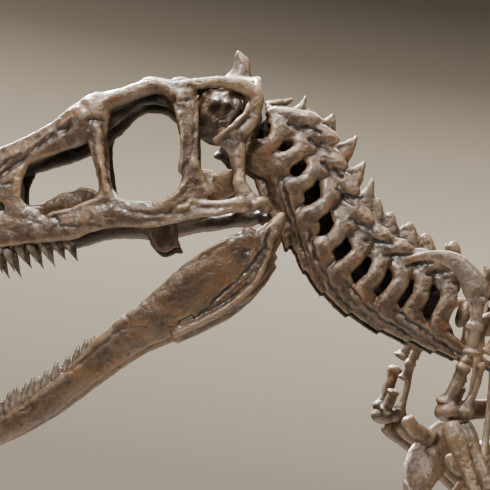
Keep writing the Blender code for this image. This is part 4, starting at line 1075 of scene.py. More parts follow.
@dataclass
class Neck:
    """Ten neck vertebrae with hooked spines, side pillars, joint plates and long slender ribs."""
    bones: tuple[NeckBone, ...] = (
        NeckBone(11, 75, 50, 52, 66), NeckBone(34, 60, 45, 48, 68), NeckBone(48, 33, 47, 42, 78),
        NeckBone(64, 3, 50, 47, 74), NeckBone(79, -31, 52, 57, 81), NeckBone(98, -55, 57, 67, 76),
        NeckBone(121, -73, 63, 74, 75), NeckBone(145, -86, 67, 76, 76), NeckBone(170, -95, 73, 82, 71),
        NeckBone(198, -106, 78, 79, 74))
    trunk: tuple[Row, ...] = ((229, -116), (268, -128))
    slot: Row = (15, 17, 20, 24, 21, 26, 29, 29, 32, 34)
    rod_reach: Row = (-6, 8, 24, 42, 60, 76, 90)
    rod_drop: Row = (26, 31, 35, 39.5, 44, 47.5, 51)
    rod_radius: Row = (7.5, 7, 5.6, 4.8, 4.0, 3.2, 1.8)
    surface: Surface = Surface(voxel=1.76, rounds=2, wave=0.6, grain=0.35, inside=0.9)

    def __post_init__(self) -> None:
        """Measure the line through the vertebrae."""
        flat = [(bone.x, bone.z) for bone in self.bones] + list(self.trunk)
        self.knots = np.array([(x, 0.0, z) for x, z in flat])
        self.arcs = np.concatenate([[0.0], np.cumsum(np.linalg.norm(np.diff(self.knots, axis=0), axis=1))])
        self.leans = [bone.lean for bone in self.bones] + [self.bones[-1].lean] * len(self.trunk)

    def place(self, arc: float, drop: float) -> np.ndarray:
        """Point below the neck's line, at a distance along it."""
        centre = vec(*(np.interp(arc, self.arcs, self.knots[:, axis]) for axis in range(3)))
        return centre - lean_direction(float(np.interp(arc, self.arcs, self.leans))) * drop

    def stationer(self, k: int) -> Callable[..., Row]:
        """Station maker of one vertebra, from heights along its pillar and along the neck."""
        centre = self.knots[k]
        tangent = unit(self.knots[k + 1] - self.knots[max(k - 1, 0)])
        lean = lean_direction(self.bones[k].lean)

        def at(up: float, along: float, lateral: float, high: float, wide: float) -> Row:
            """Station at a height, a reach backwards and a distance from the middle."""
            return station(centre + lean * up + tangent * along, lateral, high, wide)
        return at

    def vertebra(self, form: Sculpt, k: int) -> None:
        """Side pillars, joint plates and spine of one vertebra."""
        at = self.stationer(k)
        reach = self.slot[k]
        sway = 3.0 if k % 2 else 1.0
        rows = []
        for up, along, lateral in ((-38, 2, 22), (-30, 1, 25), (-23, -1, 27), (-16, -2, 28), (-8, 0, 29),
                                   (0, 2, 30),
                                   (8, sway, 29), (16, 1, 28), (24, -3, 26), (32, -7, 23), (38, -10, 21)):
            swell = min(max((abs(up) - 0.35 * reach) / (0.8 * reach), 0.0), 1.0)
            rows.append(at(up, along, lateral, 9.6 + 8.4 * swell * swell * (3 - 2 * swell), 6))
        form.pair(rows, sides=14, steps=3)
        form.pair((at(-20, 0, 8, 8, 6), at(-22, 0, 18, 8, 6), at(-24, 0, 25, 6, 5)),
                  flat=tuple(lean_direction(self.bones[k].lean)))
        end = 12 if k == len(self.bones) - 1 else 25
        form.pair((at(25, -26, 20, 4, 4), at(29, -18, 23, 6.5, 5), at(34, -7, 26, 8.5, 5.5),
                   at(39, end * 0.25, 28, 9, 6),
                   at(43, end * 0.65, 30, 8, 5.5), at(47, end, 29, 4, 4)), sides=12)
        form.pair((at(33, -22, 23, 2, 3), at(39, -10, 27, 2.2, 3), at(45, 2, 29, 2.2, 3),
                   at(51, end * 0.7, 28, 2, 2.5)),
                  sides=8)
        if k:
            self.spine(form, k, at)

    def spine(self, form: Sculpt, k: int, at: Callable[..., Row]) -> None:
        """Spine of one vertebra: a hooked thorn near the head, a blunt two-lobed plate near the trunk."""
        bone = self.bones[k]
        tangent = unit(self.knots[k + 1] - self.knots[k - 1])
        tip = self.knots[k] + lean_direction(bone.spine_lean) * bone.reach
        base = self.knots[k] + lean_direction(bone.lean) * 40 + tangent * 1
        blunt = min(max((k - 4) / 1.5, 0.0), 1.0)
        form.loft((at(20, 0, 0, 15, 13), at(34, 0, 0, 17, 13), at(44, 0, 0, 17, 9), at(50, 1, 0, 13, 5)))
        rows = []
        for share, bow, sharp, dull, wide in ((0.0, 0, 20, 15, 9), (0.22, 5, 15, 11.5, 6),
                                              (0.42, 7, 10, 9, 4.5),
                                              (0.62, 6, 6.4, 7.6, 3.6), (0.80, 3.5, 4.2, 6.8, 3),
                                              (0.93, 1, 2.6, 5, 2.4),
                                              (1.0, -0.5, 1.5, 3, 1.8)):
            spot = base + (tip - base) * share + tangent * bow * (1 - 0.6 * blunt)
            rows.append(station(spot, 0, sharp + (dull - sharp) * blunt, wide + 1.2 * blunt))
        form.loft(rows)
        if not blunt:
            form.loft((at(47, -26, 0, 4, 6), at(50, -14, 0, 4, 4.5), at(51, -2, 0, 4, 4),
                       at(53, 8, 0, 4, 4)))
        lobe = base + (tip - base) * 0.84 - tangent * 7.5 * blunt
        form.loft((station(base - tangent * 12, 0, 5, 5), station(base + (lobe - base) * 0.6 - tangent * 2,
                                                                  0, 3.4, 3.4),
                   station(lobe, 0, 2.4, 2.6)), sides=8)

    def rods(self, form: Sculpt) -> None:
        """Slender neck ribs, lying along the underside."""
        for k in range(len(self.bones)):
            stretch = 1.12 - 0.03 * k
            form.pair([station(self.place(self.arcs[k] + reach * stretch, drop), 27 - reach * 0.07, radius,
                               radius * 0.6)
                       for reach, drop, radius in zip(self.rod_reach, self.rod_drop, self.rod_radius)])
        form.pair(((-8, 14, 56, 7, 4), (0, 17, 34, 8, 4), (10, 20, 6, 7, 4), (24, 22, -24, 5, 4),
                   (27, 23, -42, 2.5, 2.5)))
        form.pair(((10, 20, 30, 8, 4.5), (24, 22, 0, 7, 4), (42, 23, -36, 5, 3.5), (59, 24, -74, 2.5, 2.5)))

    def lines(self) -> tuple[Engraving, ...]:
        """Painted shade in the slots between the pillars, carved slits between the rods darkened with
        painted shade, and painted shadow lines under and above the joint plates.
        """
        def path(*places: tuple[float, float]) -> tuple[Row, ...]:
            """Side-view line through distances along the neck and heights above its line."""
            return tuple((float(spot[0]), float(spot[2])) for spot in (self.place(arc, -up) for arc,
                                                                       up in places))

        # A wide band with no depth paints shade over the middle of the neck, seen through the slots between
        # the pillars.
        cut = [Engraving(tuple((x, z) for x, _, z in self.knots[:-1]), 31.0, 0.0, 2.6, 0.0, 19.0)]
        for k in range(len(self.bones)):
            stretch = 1.12 - 0.03 * k
            start = self.arcs[k] + 14
            slit = path(*((start + reach * stretch, 1.5 - drop) for reach,
                          drop in zip(self.rod_reach, self.rod_drop)))
            bold = 1.0 if k % 2 else 0.4
            cut.append(Engraving(slit[:-1] if k % 2 else slit[2:-1], 1.5, 3.8 * bold, 1.4 * bold, 12))
            arc = self.arcs[k]
            cut.append(Engraving(path((arc + 2, 25), (arc + 12, 29), (arc + 22, 34), (arc + 31, 38)), 1.7,
                                 3.6, 1.5, 14))
            cut.append(Engraving(path((arc - 18, 44), (arc - 6, 50), (arc + 6, 55)), 2.0, 0.8, 1.0, 0, 24))
        return tuple(cut)

    def head_end(self, form: Sculpt) -> None:
        """Level plates and struts behind the skull."""
        form.loft(((5, 0, 119, 4.5, 12), (16, 0, 121, 5, 10), (26, 0, 123, 4, 6), (34, 0, 127, 2.5, 3)))
        form.pair(((5, 12, 114, 4, 4), (16, 15, 112, 4.5, 4.5), (28, 16, 113, 3.5, 3.5)))
        form.loft(((8, 0, 102, 8, 10), (22, 0, 106, 8, 8), (34, 0, 110, 7.5, 5), (42, 0, 116, 5.6, 3.8),
                   (47, 0, 124, 3.4, 2.8), (49, 0, 131, 1.6, 1.8)))
        form.pair(((6, 17, 99, 5, 5), (20, 20, 99, 5, 5), (36, 20, 96, 5.5, 5), (52, 19, 88, 5.5, 5)))
        form.pair(((4, 16, 70, 4, 4), (6, 20, 84, 3.5, 4), (6, 18, 98, 4, 4)))

    def build(self, finishes: Finishes) -> None:
        """Build and dress the neck."""
        form = Sculpt()
        form.loft([station(knot, 0, 19 + min(k, 6), 11) for k,
                   knot in enumerate(self.knots[:len(self.bones)])], sides=16)
        form.loft(((8, 0, 100, 10, 12), (9, 0, 80, 13, 13), (14, 0, 62, 14, 12), (30, 0, 44, 12, 10)))
        for k in range(len(self.bones)):
            self.vertebra(form, k)
        self.rods(form)
        self.head_end(form)
        surface = replace(self.surface, engravings=self.lines())
        dress(form.fuse("neck_bones", surface), finishes.bone, "bone", "neck")


def spool(form: Sculpt, centre: np.ndarray, tangent: np.ndarray, front: float, back: float,
          radius: float) -> None:
    """Body of one vertebra with flared rims and a waist."""
    rows = ((-front, 1.0), (-front * 0.8, 1.04), (-front * 0.5, 0.84), (0.0, 0.72), (back * 0.5, 0.84),
            (back * 0.8, 1.04), (back, 1.0))
    form.loft([station(centre + tangent * reach, 0, radius * share, radius * share) for reach,
               share in rows], steps=2)


@dataclass
class RibCage:
    """Thirteen back vertebrae with their ribs, parted along the middle plane."""
    axis: Axis = field(default_factory=lambda: Axis(
        ((231, -117), (330, -150), (440, -194), (560, -247), (650, -290)), 13))
    lean: float = 68.0
    lengths: Row = (120, 165, 212, 243, 258, 264, 260, 248, 228, 200, 165, 126, 88)
    gap: float = 3.0
    surface: Surface = Surface(voxel=2.4, rounds=2, wave=0.5, grain=0.2)

    def rib(self, form: Sculpt, k: int, side: Side) -> None:
        """One two-headed rib."""
        t = k / (self.axis.count - 1)
        centre, tangent, lean = self.axis.point(t), self.axis.tangent(t), lean_direction(self.lean)
        length = self.lengths[k]
        sweep = (1 - 0.7 * t) * length
        curve = ((0, 12, 2), (2, 36, 16), (0.05 * sweep, 38 + 0.20 * length, -0.10 * length),
                 (0.14 * sweep, 38 + 0.26 * length, -0.42 * length),
                 (0.22 * sweep, 38 + 0.18 * length, -0.78 * length),
                 (0.26 * sweep, 38 + 0.06 * length, -length))
        rows = []
        for (back, out, up), wide in zip(curve, (5, 6.5, 7, 6, 5, 5)):
            rows.append(station(centre + tangent * back + lean * up, out, wide, 3.4))
        form.loft(rows, side=side, steps=7)

    def build(self, finishes: Finishes) -> None:
        """Build and dress both halves."""
        lean = lean_direction(self.lean)
        for side, label in ((Side.LEFT, "left"), (Side.RIGHT, "right")):
            form = Sculpt()
            for k in range(self.axis.count):
                t = k / (self.axis.count - 1)
                centre, tangent = self.axis.point(t), self.axis.tangent(t)
                last = k == self.axis.count - 1
                spool(form, centre, tangent, 23 if k else 13, 13 if last else 23, 16)
                form.loft((station(centre, 0, 11, 12), station(centre + lean * 28, 0, 11, 11)))
                form.loft((station(centre + lean * 22, 0, 10, 5), station(centre + lean * 46, 0, 9, 4),
                           station(centre + lean * (70 if k else 58), 0, 11, 4.5)))
                form.loft((station(centre + lean * 22, 6, 9, 6), station(centre + lean * 25, 24, 6, 4.5),
                           station(centre + lean * 24, 38, 7, 5)), side=side, flat=tuple(lean))
                form.pair((station(centre + lean * 30 - tangent * 18, 9, 4, 4),
                           station(centre + lean * 28, 12, 6, 5),
                           station(centre + lean * 31 + tangent * 19, 8, 4, 4)))
                self.rib(form, k, side)
            made = form.raw("rib_cage_bones_" + label)
            remesh(made, self.surface.voxel)
            self.halve(made, side)
            remesh(made, self.surface.voxel)
            keep_largest_shell(made)
            soften(made, self.surface.rounds)
            relief(made, self.surface)
            with_selected(made)
            bpy.ops.object.shade_smooth()
            dress(made, finishes.bone, "bone", "rib_cage_" + label)

    def halve(self, made: bpy.types.Object, side: Side) -> None:
        """Cut away what lies beyond the middle plane and close the cut."""
        with_selected(made)
        bpy.ops.object.mode_set(mode="EDIT")
        bpy.ops.mesh.select_all(action="SELECT")
        bpy.ops.mesh.bisect(plane_co=(0, side * self.gap / 2 * MM, 0), plane_no=(0, side, 0), use_fill=True,
                            clear_inner=True)
        bpy.ops.object.mode_set(mode="OBJECT")


@dataclass
class Sacrum:
    """Five fused hip vertebrae with a low ridge of joined spines and side struts."""
    axis: Axis = field(default_factory=lambda: Axis(((684, -304), (765, -330), (850, -343)), 5))
    surface: Surface = Surface(voxel=2.4, rounds=2)

    def build(self, finishes: Finishes) -> None:
        """Build and dress the sacrum."""
        form = Sculpt()
        lean = lean_direction(80)
        for k in range(self.axis.count):
            t = k / (self.axis.count - 1)
            centre, tangent = self.axis.point(t), self.axis.tangent(t)
            spool(form, centre, tangent, 22 if k else 12, 22 if k < self.axis.count - 1 else 13, 16)
            form.loft((station(centre, 0, 14, 11), station(centre + lean * 30, 0, 18, 6),
                       station(centre + lean * 62, 0, 17, 4.5)))
            form.pair((station(centre + lean * 8, 8, 9, 7), station(centre + lean * 10, 24, 7, 5),
                       station(centre + lean * 10, 36, 9, 6)), flat=tuple(lean))
        dress(form.fuse("sacrum_bones", self.surface), finishes.bone, "bone", "sacrum")


@dataclass
class Tail:
    """Tail in four lengths, its rear half stiffened by long bony rods."""
    axis: Axis = field(default_factory=lambda: Axis(
        ((884, -347), (1100, -362), (1450, -372), (1900, -366), (2300, -350), (2650, -328)), 40))
    pitch: float = 44.0
    parts: tuple[tuple[str, float, float], ...] = (
        ("tail_base", 0.0, 0.20), ("tail_middle", 0.20, 0.45), ("tail_rear", 0.45, 0.72),
        ("tail_tip", 0.72, 1.0))
    surface: Surface = Surface(voxel=2.0, rounds=2, wave=0.4, grain=0.2)

    def vertebra(self, form: Sculpt, t: float, front: float, back: float) -> None:
        """One tail vertebra with spine, haemal arch and side wings where it has them."""
        centre, tangent, lean = self.axis.point(t), self.axis.tangent(t), lean_direction(100)
        fade = 1 - t
        spool(form, centre, tangent, front, back, 4.0 + 12.0 * fade)
        if t < 0.32:
            form.loft((station(centre, 0, 9, 6), station(centre + lean * 30 * fade, 0, 8, 4),
                       station(centre + lean * 62 * fade + tangent * 6, 0, 7, 3.5)))
            form.loft((station(centre + tangent * 12, 0, 6, 6),
                       station(centre - lean * 40 * fade + tangent * 24, 0, 6, 4),
                       station(centre - lean * 78 * fade + tangent * 38, 0, 6, 3.5)))
            form.pair((station(centre + lean * 4, 6, 7, 6), station(centre + lean * 4, 26 * fade, 6, 4),
                       station(centre + lean * 2 + tangent * 6, 52 * fade, 5, 3.5)), flat=tuple(lean))
            form.pair((station(centre + lean * 14 * fade - tangent * 20, 8 * fade, 4, 3),
                       station(centre + lean * 18 * fade + tangent * 20, 8 * fade, 4, 3)))

    def build(self, finishes: Finishes) -> None:
        """Build and dress the four lengths."""
        ends = self.axis.path[-1] - self.axis.path[0]
        total = int(np.linalg.norm(ends) / self.pitch)
        for name, start, end in self.parts:
            form = Sculpt()
            first, last = math.ceil(start * total), math.ceil(end * total)
            for k in range(first, last):
                self.vertebra(form, k / total, self.pitch * (0.56 if k > first else 0.40),
                              self.pitch * (0.56 if k < last - 1 else 0.40))
            if end > 0.3:
                self.stiffeners(form, start, end, first / total, (last - 1) / total)
            dress(form.fuse(name + "_bones", self.surface), finishes.bone, "bone", name)

    def stiffeners(self, form: Sculpt, start: float, end: float, head: float, rear: float) -> None:
        """Bundles of thin bony rods above and below the vertebrae."""
        first = self.axis.point(head) - self.axis.tangent(head) * self.pitch * 0.3
        last = self.axis.point(rear) + self.axis.tangent(rear) * self.pitch * 0.3
        for drop in (1, -1):
            high, low = drop * (3.5 + 13 * (1 - start)), drop * (3.5 + 13 * (1 - end))
            form.loft(((first[0], 0, first[2] + high, 4.0, 3 + 5 * (1 - start)),
                       (last[0], 0, last[2] + low, 3.2, 2.4 + 3.5 * (1 - end))), steps=12)
            for spread in (0.35, 0.9):
                form.pair(((first[0], spread * (4 + 6 * (1 - start)),
                            first[2] + high * (1.2 - 0.3 * spread), 2.2, 2.2),
                           (last[0], spread * (3.2 + 4 * (1 - end)), last[2] + low * (1.2 - 0.3 * spread),
                            1.9, 1.9)),
                          steps=12)


# ---------------------------------------------------------------- girdles
@dataclass
class Hips:
    """Hip blades, pubis with its foot, and ischium."""
    surface: Surface = Surface(voxel=2.4, rounds=3, wave=0.6)

    def build(self, finishes: Finishes) -> None:
        """Build and dress the hip bones."""
        for side, label in ((Side.LEFT, "left"), (Side.RIGHT, "right")):
            form = Sculpt()
            form.loft(((672, 46, -308, 17, 4.5), (692, 48, -312, 31, 5), (722, 50, -322, 41, 5.5),
                       (760, 51, -330, 40, 6), (800, 50, -334, 32, 5.5), (842, 49, -332, 22, 5),
                       (884, 48, -330, 12, 4.5)), side=side, sides=20)
            form.loft(((735, 52, -352, 17, 7), (727, 53, -372, 14, 8), (722, 54, -390, 12, 8)), side=side)
            form.loft(((790, 52, -350, 14, 7), (797, 53, -370, 11, 8), (800, 54, -388, 10, 8)), side=side)
            form.loft(((676, 49, -296, 4, 3), (710, 53, -286, 4, 3), (750, 54, -292, 4, 3),
                       (800, 53, -306, 4, 3),
                       (850, 51, -318, 3.5, 3)), side=side)
            dress(form.fuse("ilium_bone_" + label, self.surface), finishes.bone, "bone", "ilium_" + label)
        form = Sculpt()
        form.pair(((722, 52, -407, 13, 8), (726, 42, -450, 9, 8), (737, 24, -540, 7, 8),
                   (748, 9, -630, 7, 8),
                   (754, 4, -690, 10, 7)))
        form.loft(((728, 0, -688, 8, 6), (760, 0, -700, 15, 7), (800, 0, -696, 9, 6), (822, 0, -690, 5, 5)))
        dress(form.fuse("pubis_bone", self.surface), finishes.bone, "bone", "pubis")
        form = Sculpt()
        form.pair(((800, 52, -404, 11, 8), (818, 44, -434, 9, 6), (850, 28, -490, 10, 5),
                   (885, 9, -556, 9, 6),
                   (896, 4, -574, 6, 6)))
        dress(form.fuse("ischium_bone", self.surface), finishes.bone, "bone", "ischium")


@dataclass
class Shoulders:
    """Shoulder blade with coracoid of each side, and the breastbone."""
    right_shift: Row = (-34, 0, 42)
    surface: Surface = Surface(voxel=1.9, rounds=3, wave=0.9, grain=0.3)

    def build(self, finishes: Finishes) -> None:
        """Build and dress the shoulder bones."""
        for side, label in ((Side.LEFT, "left"), (Side.RIGHT, "right")):
            shift = self.right_shift if side is Side.RIGHT else (0, 0, 0)

            def moved(rows: Sequence[Row]) -> list[Row]:
                """Rows shifted for this side."""
                return [(x + shift[0], y + shift[1], z + shift[2], h, w) for x, y, z, h, w in rows]

            form = Sculpt()
            form.loft(moved(((250, 87, -262, 17, 7), (282, 101, -256, 12, 5), (330, 116, -256, 11, 4.5),
                             (390, 127, -262, 12, 4.5), (440, 131, -268, 15, 4.5),
                             (464, 130, -272, 16, 4.5))), side)
            form.loft(moved(((262, 87, -270, 16, 8), (240, 80, -292, 22, 7), (218, 64, -318, 24, 6),
                             (206, 48, -344, 17, 5), (206, 38, -358, 9, 5))), side)
            form.loft(moved(((226, 72, -292, 10, 8), (204, 66, -278, 9, 7), (198, 64, -268, 7, 7))), side)
            form.loft(moved(((246, 90, -270, 5, 4), (226, 82, -292, 5, 4), (208, 70, -312, 4, 4))), side)
            dress(form.fuse("scapulocoracoid_bone_" + label, self.surface), finishes.bone, "bone",
                  "scapulocoracoid_" + label)
        form = Sculpt()
        form.pair(((222, 16, -377, 4, 12), (262, 20, -383, 4, 18), (320, 26, -390, 4, 20),
                   (356, 30, -394, 4, 12)))
        form.loft(((225, 0, -378, 5, 8), (300, 0, -388, 6, 10)))
        dress(form.fuse("sternum_bone", self.surface), finishes.bone, "bone", "sternum")


# ---------------------------------------------------------------- limbs
@dataclass
class Finger:
    """One finger: offsets in millimetres from knuckle to root, to last joint, to claw tip."""
    root: Row
    reach: Row
    hook: Row
    arch: Row
    thick: float


@dataclass
class Arm:
    """Upper arm, forearm, palm and three clawed fingers of one side."""
    side: Side
    label: str
    shoulder: Row
    elbow: Row
    wrist: Row
    knuckle: Row
    fingers: dict[str, Finger]
    surface: Surface = Surface(voxel=1.7, rounds=2, wave=0.5, grain=0.25)

    def build(self, finishes: Finishes) -> None:
        """Build and dress the arm."""
        shoulder, elbow, wrist, knuckle = (vec(*p) for p in (self.shoulder, self.elbow, self.wrist,
                                                             self.knuckle))
        side = self.side
        reach = unit(elbow - shoulder)
        form = Sculpt()
        form.shaft(shoulder + reach * 6, elbow - reach * 6, ((17, 12), (16, 13)), (9, 9), side,
                   bow=(6, 4, 0))
        crest = [(*(shoulder + (elbow - shoulder) * share + vec(-9, 0, 0)), high, 5.0)
                 for share, high in ((0.1, 12), (0.25, 14), (0.42, 7))]
        form.loft(crest, side)
        self.finish(form, "humerus", finishes)
        bend = elbow + vec(-26, -3, 14)
        rise = unit(wrist - bend)
        form = Sculpt()
        form.shaft(bend + vec(8, -3, -6), wrist - rise * 10 + vec(8, -9, 0), ((10, 9), (11, 9)), (7.5, 6.5),
                   side,
                   bow=(2, 3, 0))
        self.finish(form, "ulna", finishes)
        form = Sculpt()
        form.shaft(bend + vec(-8, 8, 3), wrist - rise * 10 + vec(-7, 8, 0), ((8, 8), (11, 9)), (6.5, 6),
                   side)
        self.finish(form, "radius", finishes)
        up = unit(knuckle - wrist)
        form = Sculpt()
        form.lump((wrist[0] - 4, wrist[1], wrist[2] + 4), (15, 13, 11), side)
        form.lump((wrist[0] + 11, wrist[1], wrist[2] + 4), (12, 11, 9), side)
        form.shaft(wrist + vec(-6, 0, 10), knuckle - up * 8 + vec(-4, 0, 0), ((13, 10), (9, 9)), (7, 7),
                   side)
        form.shaft(wrist + vec(14, 0, 8), knuckle - up * 8 + vec(13, 0, 2), ((7, 7), (6, 6)), (4.2, 4.2),
                   side,
                   bow=(3, 0, 0))
        form.shaft(wrist + vec(-2, -12, 8), wrist + up * 32 + vec(0, -17, 0), ((8, 7), (8, 7)), (6.5, 6),
                   side)
        self.finish(form, "metacarpus", finishes)
        for name, finger in self.fingers.items():
            self.digit(name, finger, knuckle, finishes)

    def digit(self, name: str, finger: Finger, knuckle: np.ndarray, finishes: Finishes) -> None:
        """One finger with its claw as a piece of its own."""
        root = knuckle + vec(*finger.root)
        joint = root + vec(*finger.reach)
        middle = root + (joint - root) * 0.48
        thick = finger.thick
        form = Sculpt()
        form.shaft(root, middle, ((thick * 0.95, thick * 0.8), (thick * 0.9, thick * 0.75)),
                   (thick * 0.58, thick * 0.6), self.side)
        form.shaft(middle, joint, ((thick * 0.9, thick * 0.75), (thick * 0.85, thick * 0.75)),
                   (thick * 0.6, thick * 0.6), self.side)
        form.claw(joint, joint + vec(*finger.hook), finger.arch, thick * 1.15, self.side)
        dress(form.fuse(f"{name}_bones_{self.label}", self.surface), finishes.claw if name == "finger_2"
              else finishes.bone, "bone", f"{name}_{self.label}")

    def finish(self, form: Sculpt, name: str, finishes: Finishes) -> None:
        """Fuse and dress one bone of the arm."""
        dress(form.fuse(f"{name}_bone_{self.label}", self.surface), finishes.bone, "bone",
              f"{name}_{self.label}")


@dataclass
class Leg:
    """Thigh, shin, calf, foot bones and toes of one side."""
    side: Side
    label: str
    hip: Row
    knee: Row
    ankle: Row
    ball: Row
    toes: tuple[tuple[str, float, float, float], ...] = (("toe_3", 0, 132, 11.0), ("toe_4", -20, 112, 9.5))
    floor: float = 60.0
    surface: Surface = Surface(voxel=2.3, rounds=3, wave=0.6, grain=0.25)

    def finish(self, form: Sculpt, name: str, finishes: Finishes) -> None:
        """Fuse and dress one bone of the leg."""
        dress(form.fuse(f"{name}_bone_{self.label}", self.surface), finishes.bone, "bone",
              f"{name}_{self.label}")

    def build(self, finishes: Finishes) -> None:
        """Build and dress the leg."""
        hip, knee, ankle, ball = (vec(*p) for p in (self.hip, self.knee, self.ankle, self.ball))
        side = self.side
        outer = hip + vec(2, 32, 2)
        form = Sculpt(GROUND)
        form.lump((hip[0], hip[1] + 8, hip[2]), (14, 14, 14), side)
        form.loft(((hip[0], hip[1] + 6, hip[2], 13, 13), (*outer, 17, 14)), side, flat=ALONG)
        down = unit(knee - outer)
        form.shaft(outer - down * 12, knee - down * 8, ((19, 13), (22, 19)), (13, 12), side, bow=(-14, 2, 4))
        self.finish(form, "femur", finishes)
        shin = unit(ankle - knee)
        form = Sculpt(GROUND)
        form.shaft(knee + shin * 20, ankle - shin * 10, ((22, 17), (15, 19)), (11, 11), side)
        front = np.cross(shin, vec(0, 1, 0))
        front = front if front[0] < 0 else -front
        crest = [knee + shin * 24 + front * 14, knee + shin * 60 + front * 12, knee + shin * 110 + front * 5]
        form.loft([(*p, h, 6) for p, h in zip(crest, (15, 11, 6))], side)
        self.finish(form, "tibia", finishes)
        form = Sculpt(GROUND)
        form.shaft(knee + shin * 26 + vec(0, 27, 0) - front * 6, ankle - shin * 22 + vec(0, 25, 0),
                   ((12, 6), (6, 5)), (4.5, 4.5), side)
        self.finish(form, "fibula", finishes)
        form = Sculpt(GROUND)
        drop = unit(ball - ankle)
        for offset in (-16, 0, 16):
            form.shaft(ankle + drop * 14 + vec(0, offset * 0.85, 0),
                       ball - drop * 4 + vec(0, offset * 1.1, 0),
                       ((13, 9.5), (11, 9)), (8.5, 8.5), side)
        self.finish(form, "metatarsus", finishes)
        self.standing_toes(ball, finishes)
        self.raised_toes(ball, finishes)

    def standing_toes(self, ball: np.ndarray, finishes: Finishes) -> None:
        """Third and fourth toes, flat on the base."""
        for name, angle, length, thick in self.toes:
            form = Sculpt(GROUND)
            aim = vec(-math.cos(math.radians(angle)), -math.sin(math.radians(angle)), 0)
            root = ball + vec(-14, 0 if name == "toe_3" else 21, 0)
            pads = [vec(root[0], root[1], ball[2] - 8)]
            for share, height in ((0.32, thick + 8), (0.58, thick + 4), (0.78, thick + 2)):
                pads.append(vec(root[0], root[1], self.floor + height) + aim * (length * share))
            for start, end in zip(pads, pads[1:]):
                form.shaft(start, end, ((thick, thick), (thick * 0.85, thick * 0.85)),
                           (thick * 0.7, thick * 0.7),
                           self.side)
            form.claw(pads[-1], vec(root[0], root[1], self.floor + 4) + aim * (length * 1.2), (0, 0, 9),
                      thick,
                      self.side)
            dress(form.fuse(f"{name}_bones_{self.label}", self.surface), finishes.bone, "bone",
                  f"{name}_{self.label}")

    def raised_toes(self, ball: np.ndarray, finishes: Finishes) -> None:
        """Second toe with its raised sickle claw, and the small first toe."""
        root = ball + vec(-14, -22, -2)
        middle = root + vec(-34, -6, 14)
        joint = middle + vec(-18, -2, 30)
        form = Sculpt(GROUND)
        form.shaft(root, middle, ((11, 10), (10, 9)), (7.5, 7), self.side)
        form.shaft(middle, joint, ((10, 9), (11, 9)), (8, 7), self.side)
        form.claw(joint, joint + vec(-66, -2, -30), (-10, 0, 34), 15, self.side)
        dress(form.fuse(f"toe_2_bones_{self.label}", self.surface), finishes.claw, "bone",
              f"toe_2_{self.label}")
        start = ball + vec(12, -28, 34)
        middle = start + vec(-6, -14, -20)
        form = Sculpt(GROUND)
        form.shaft(start, middle, ((7, 6), (6, 6)), (5, 5), self.side)
        form.claw(middle, middle + vec(-26, -5, -14), (-4, 0, 8), 6, self.side)
        dress(form.fuse(f"toe_1_bones_{self.label}", self.surface), finishes.bone, "bone",
              f"toe_1_{self.label}")


# ---------------------------------------------------------------- stand and studio
@dataclass
class Stand:
    """Flat museum base with softened edges."""
    length: float = 1.50
    width: float = 0.62
    height: float = 0.060
    bevel: float = 0.008

    def build(self, finishes: Finishes) -> None:
        """Build and dress the base."""
        bpy.ops.object.select_all(action="DESELECT")
        bpy.ops.mesh.primitive_cube_add(size=1, location=(0, 0, self.height / 2),
                                        scale=(self.length, self.width, self.height))
        made = bpy.context.active_object
        made.name = "museum_base"
        bpy.ops.object.transform_apply(location=True, rotation=True, scale=True)
        soft = made.modifiers.new("Soft edges", "BEVEL")
        soft.width = self.bevel
        soft.segments = 5
        apply_modifiers(made)
        bpy.ops.object.shade_smooth_by_angle(angle=math.radians(30))
        dress(made, finishes.base, "stand_base", "stand_base")


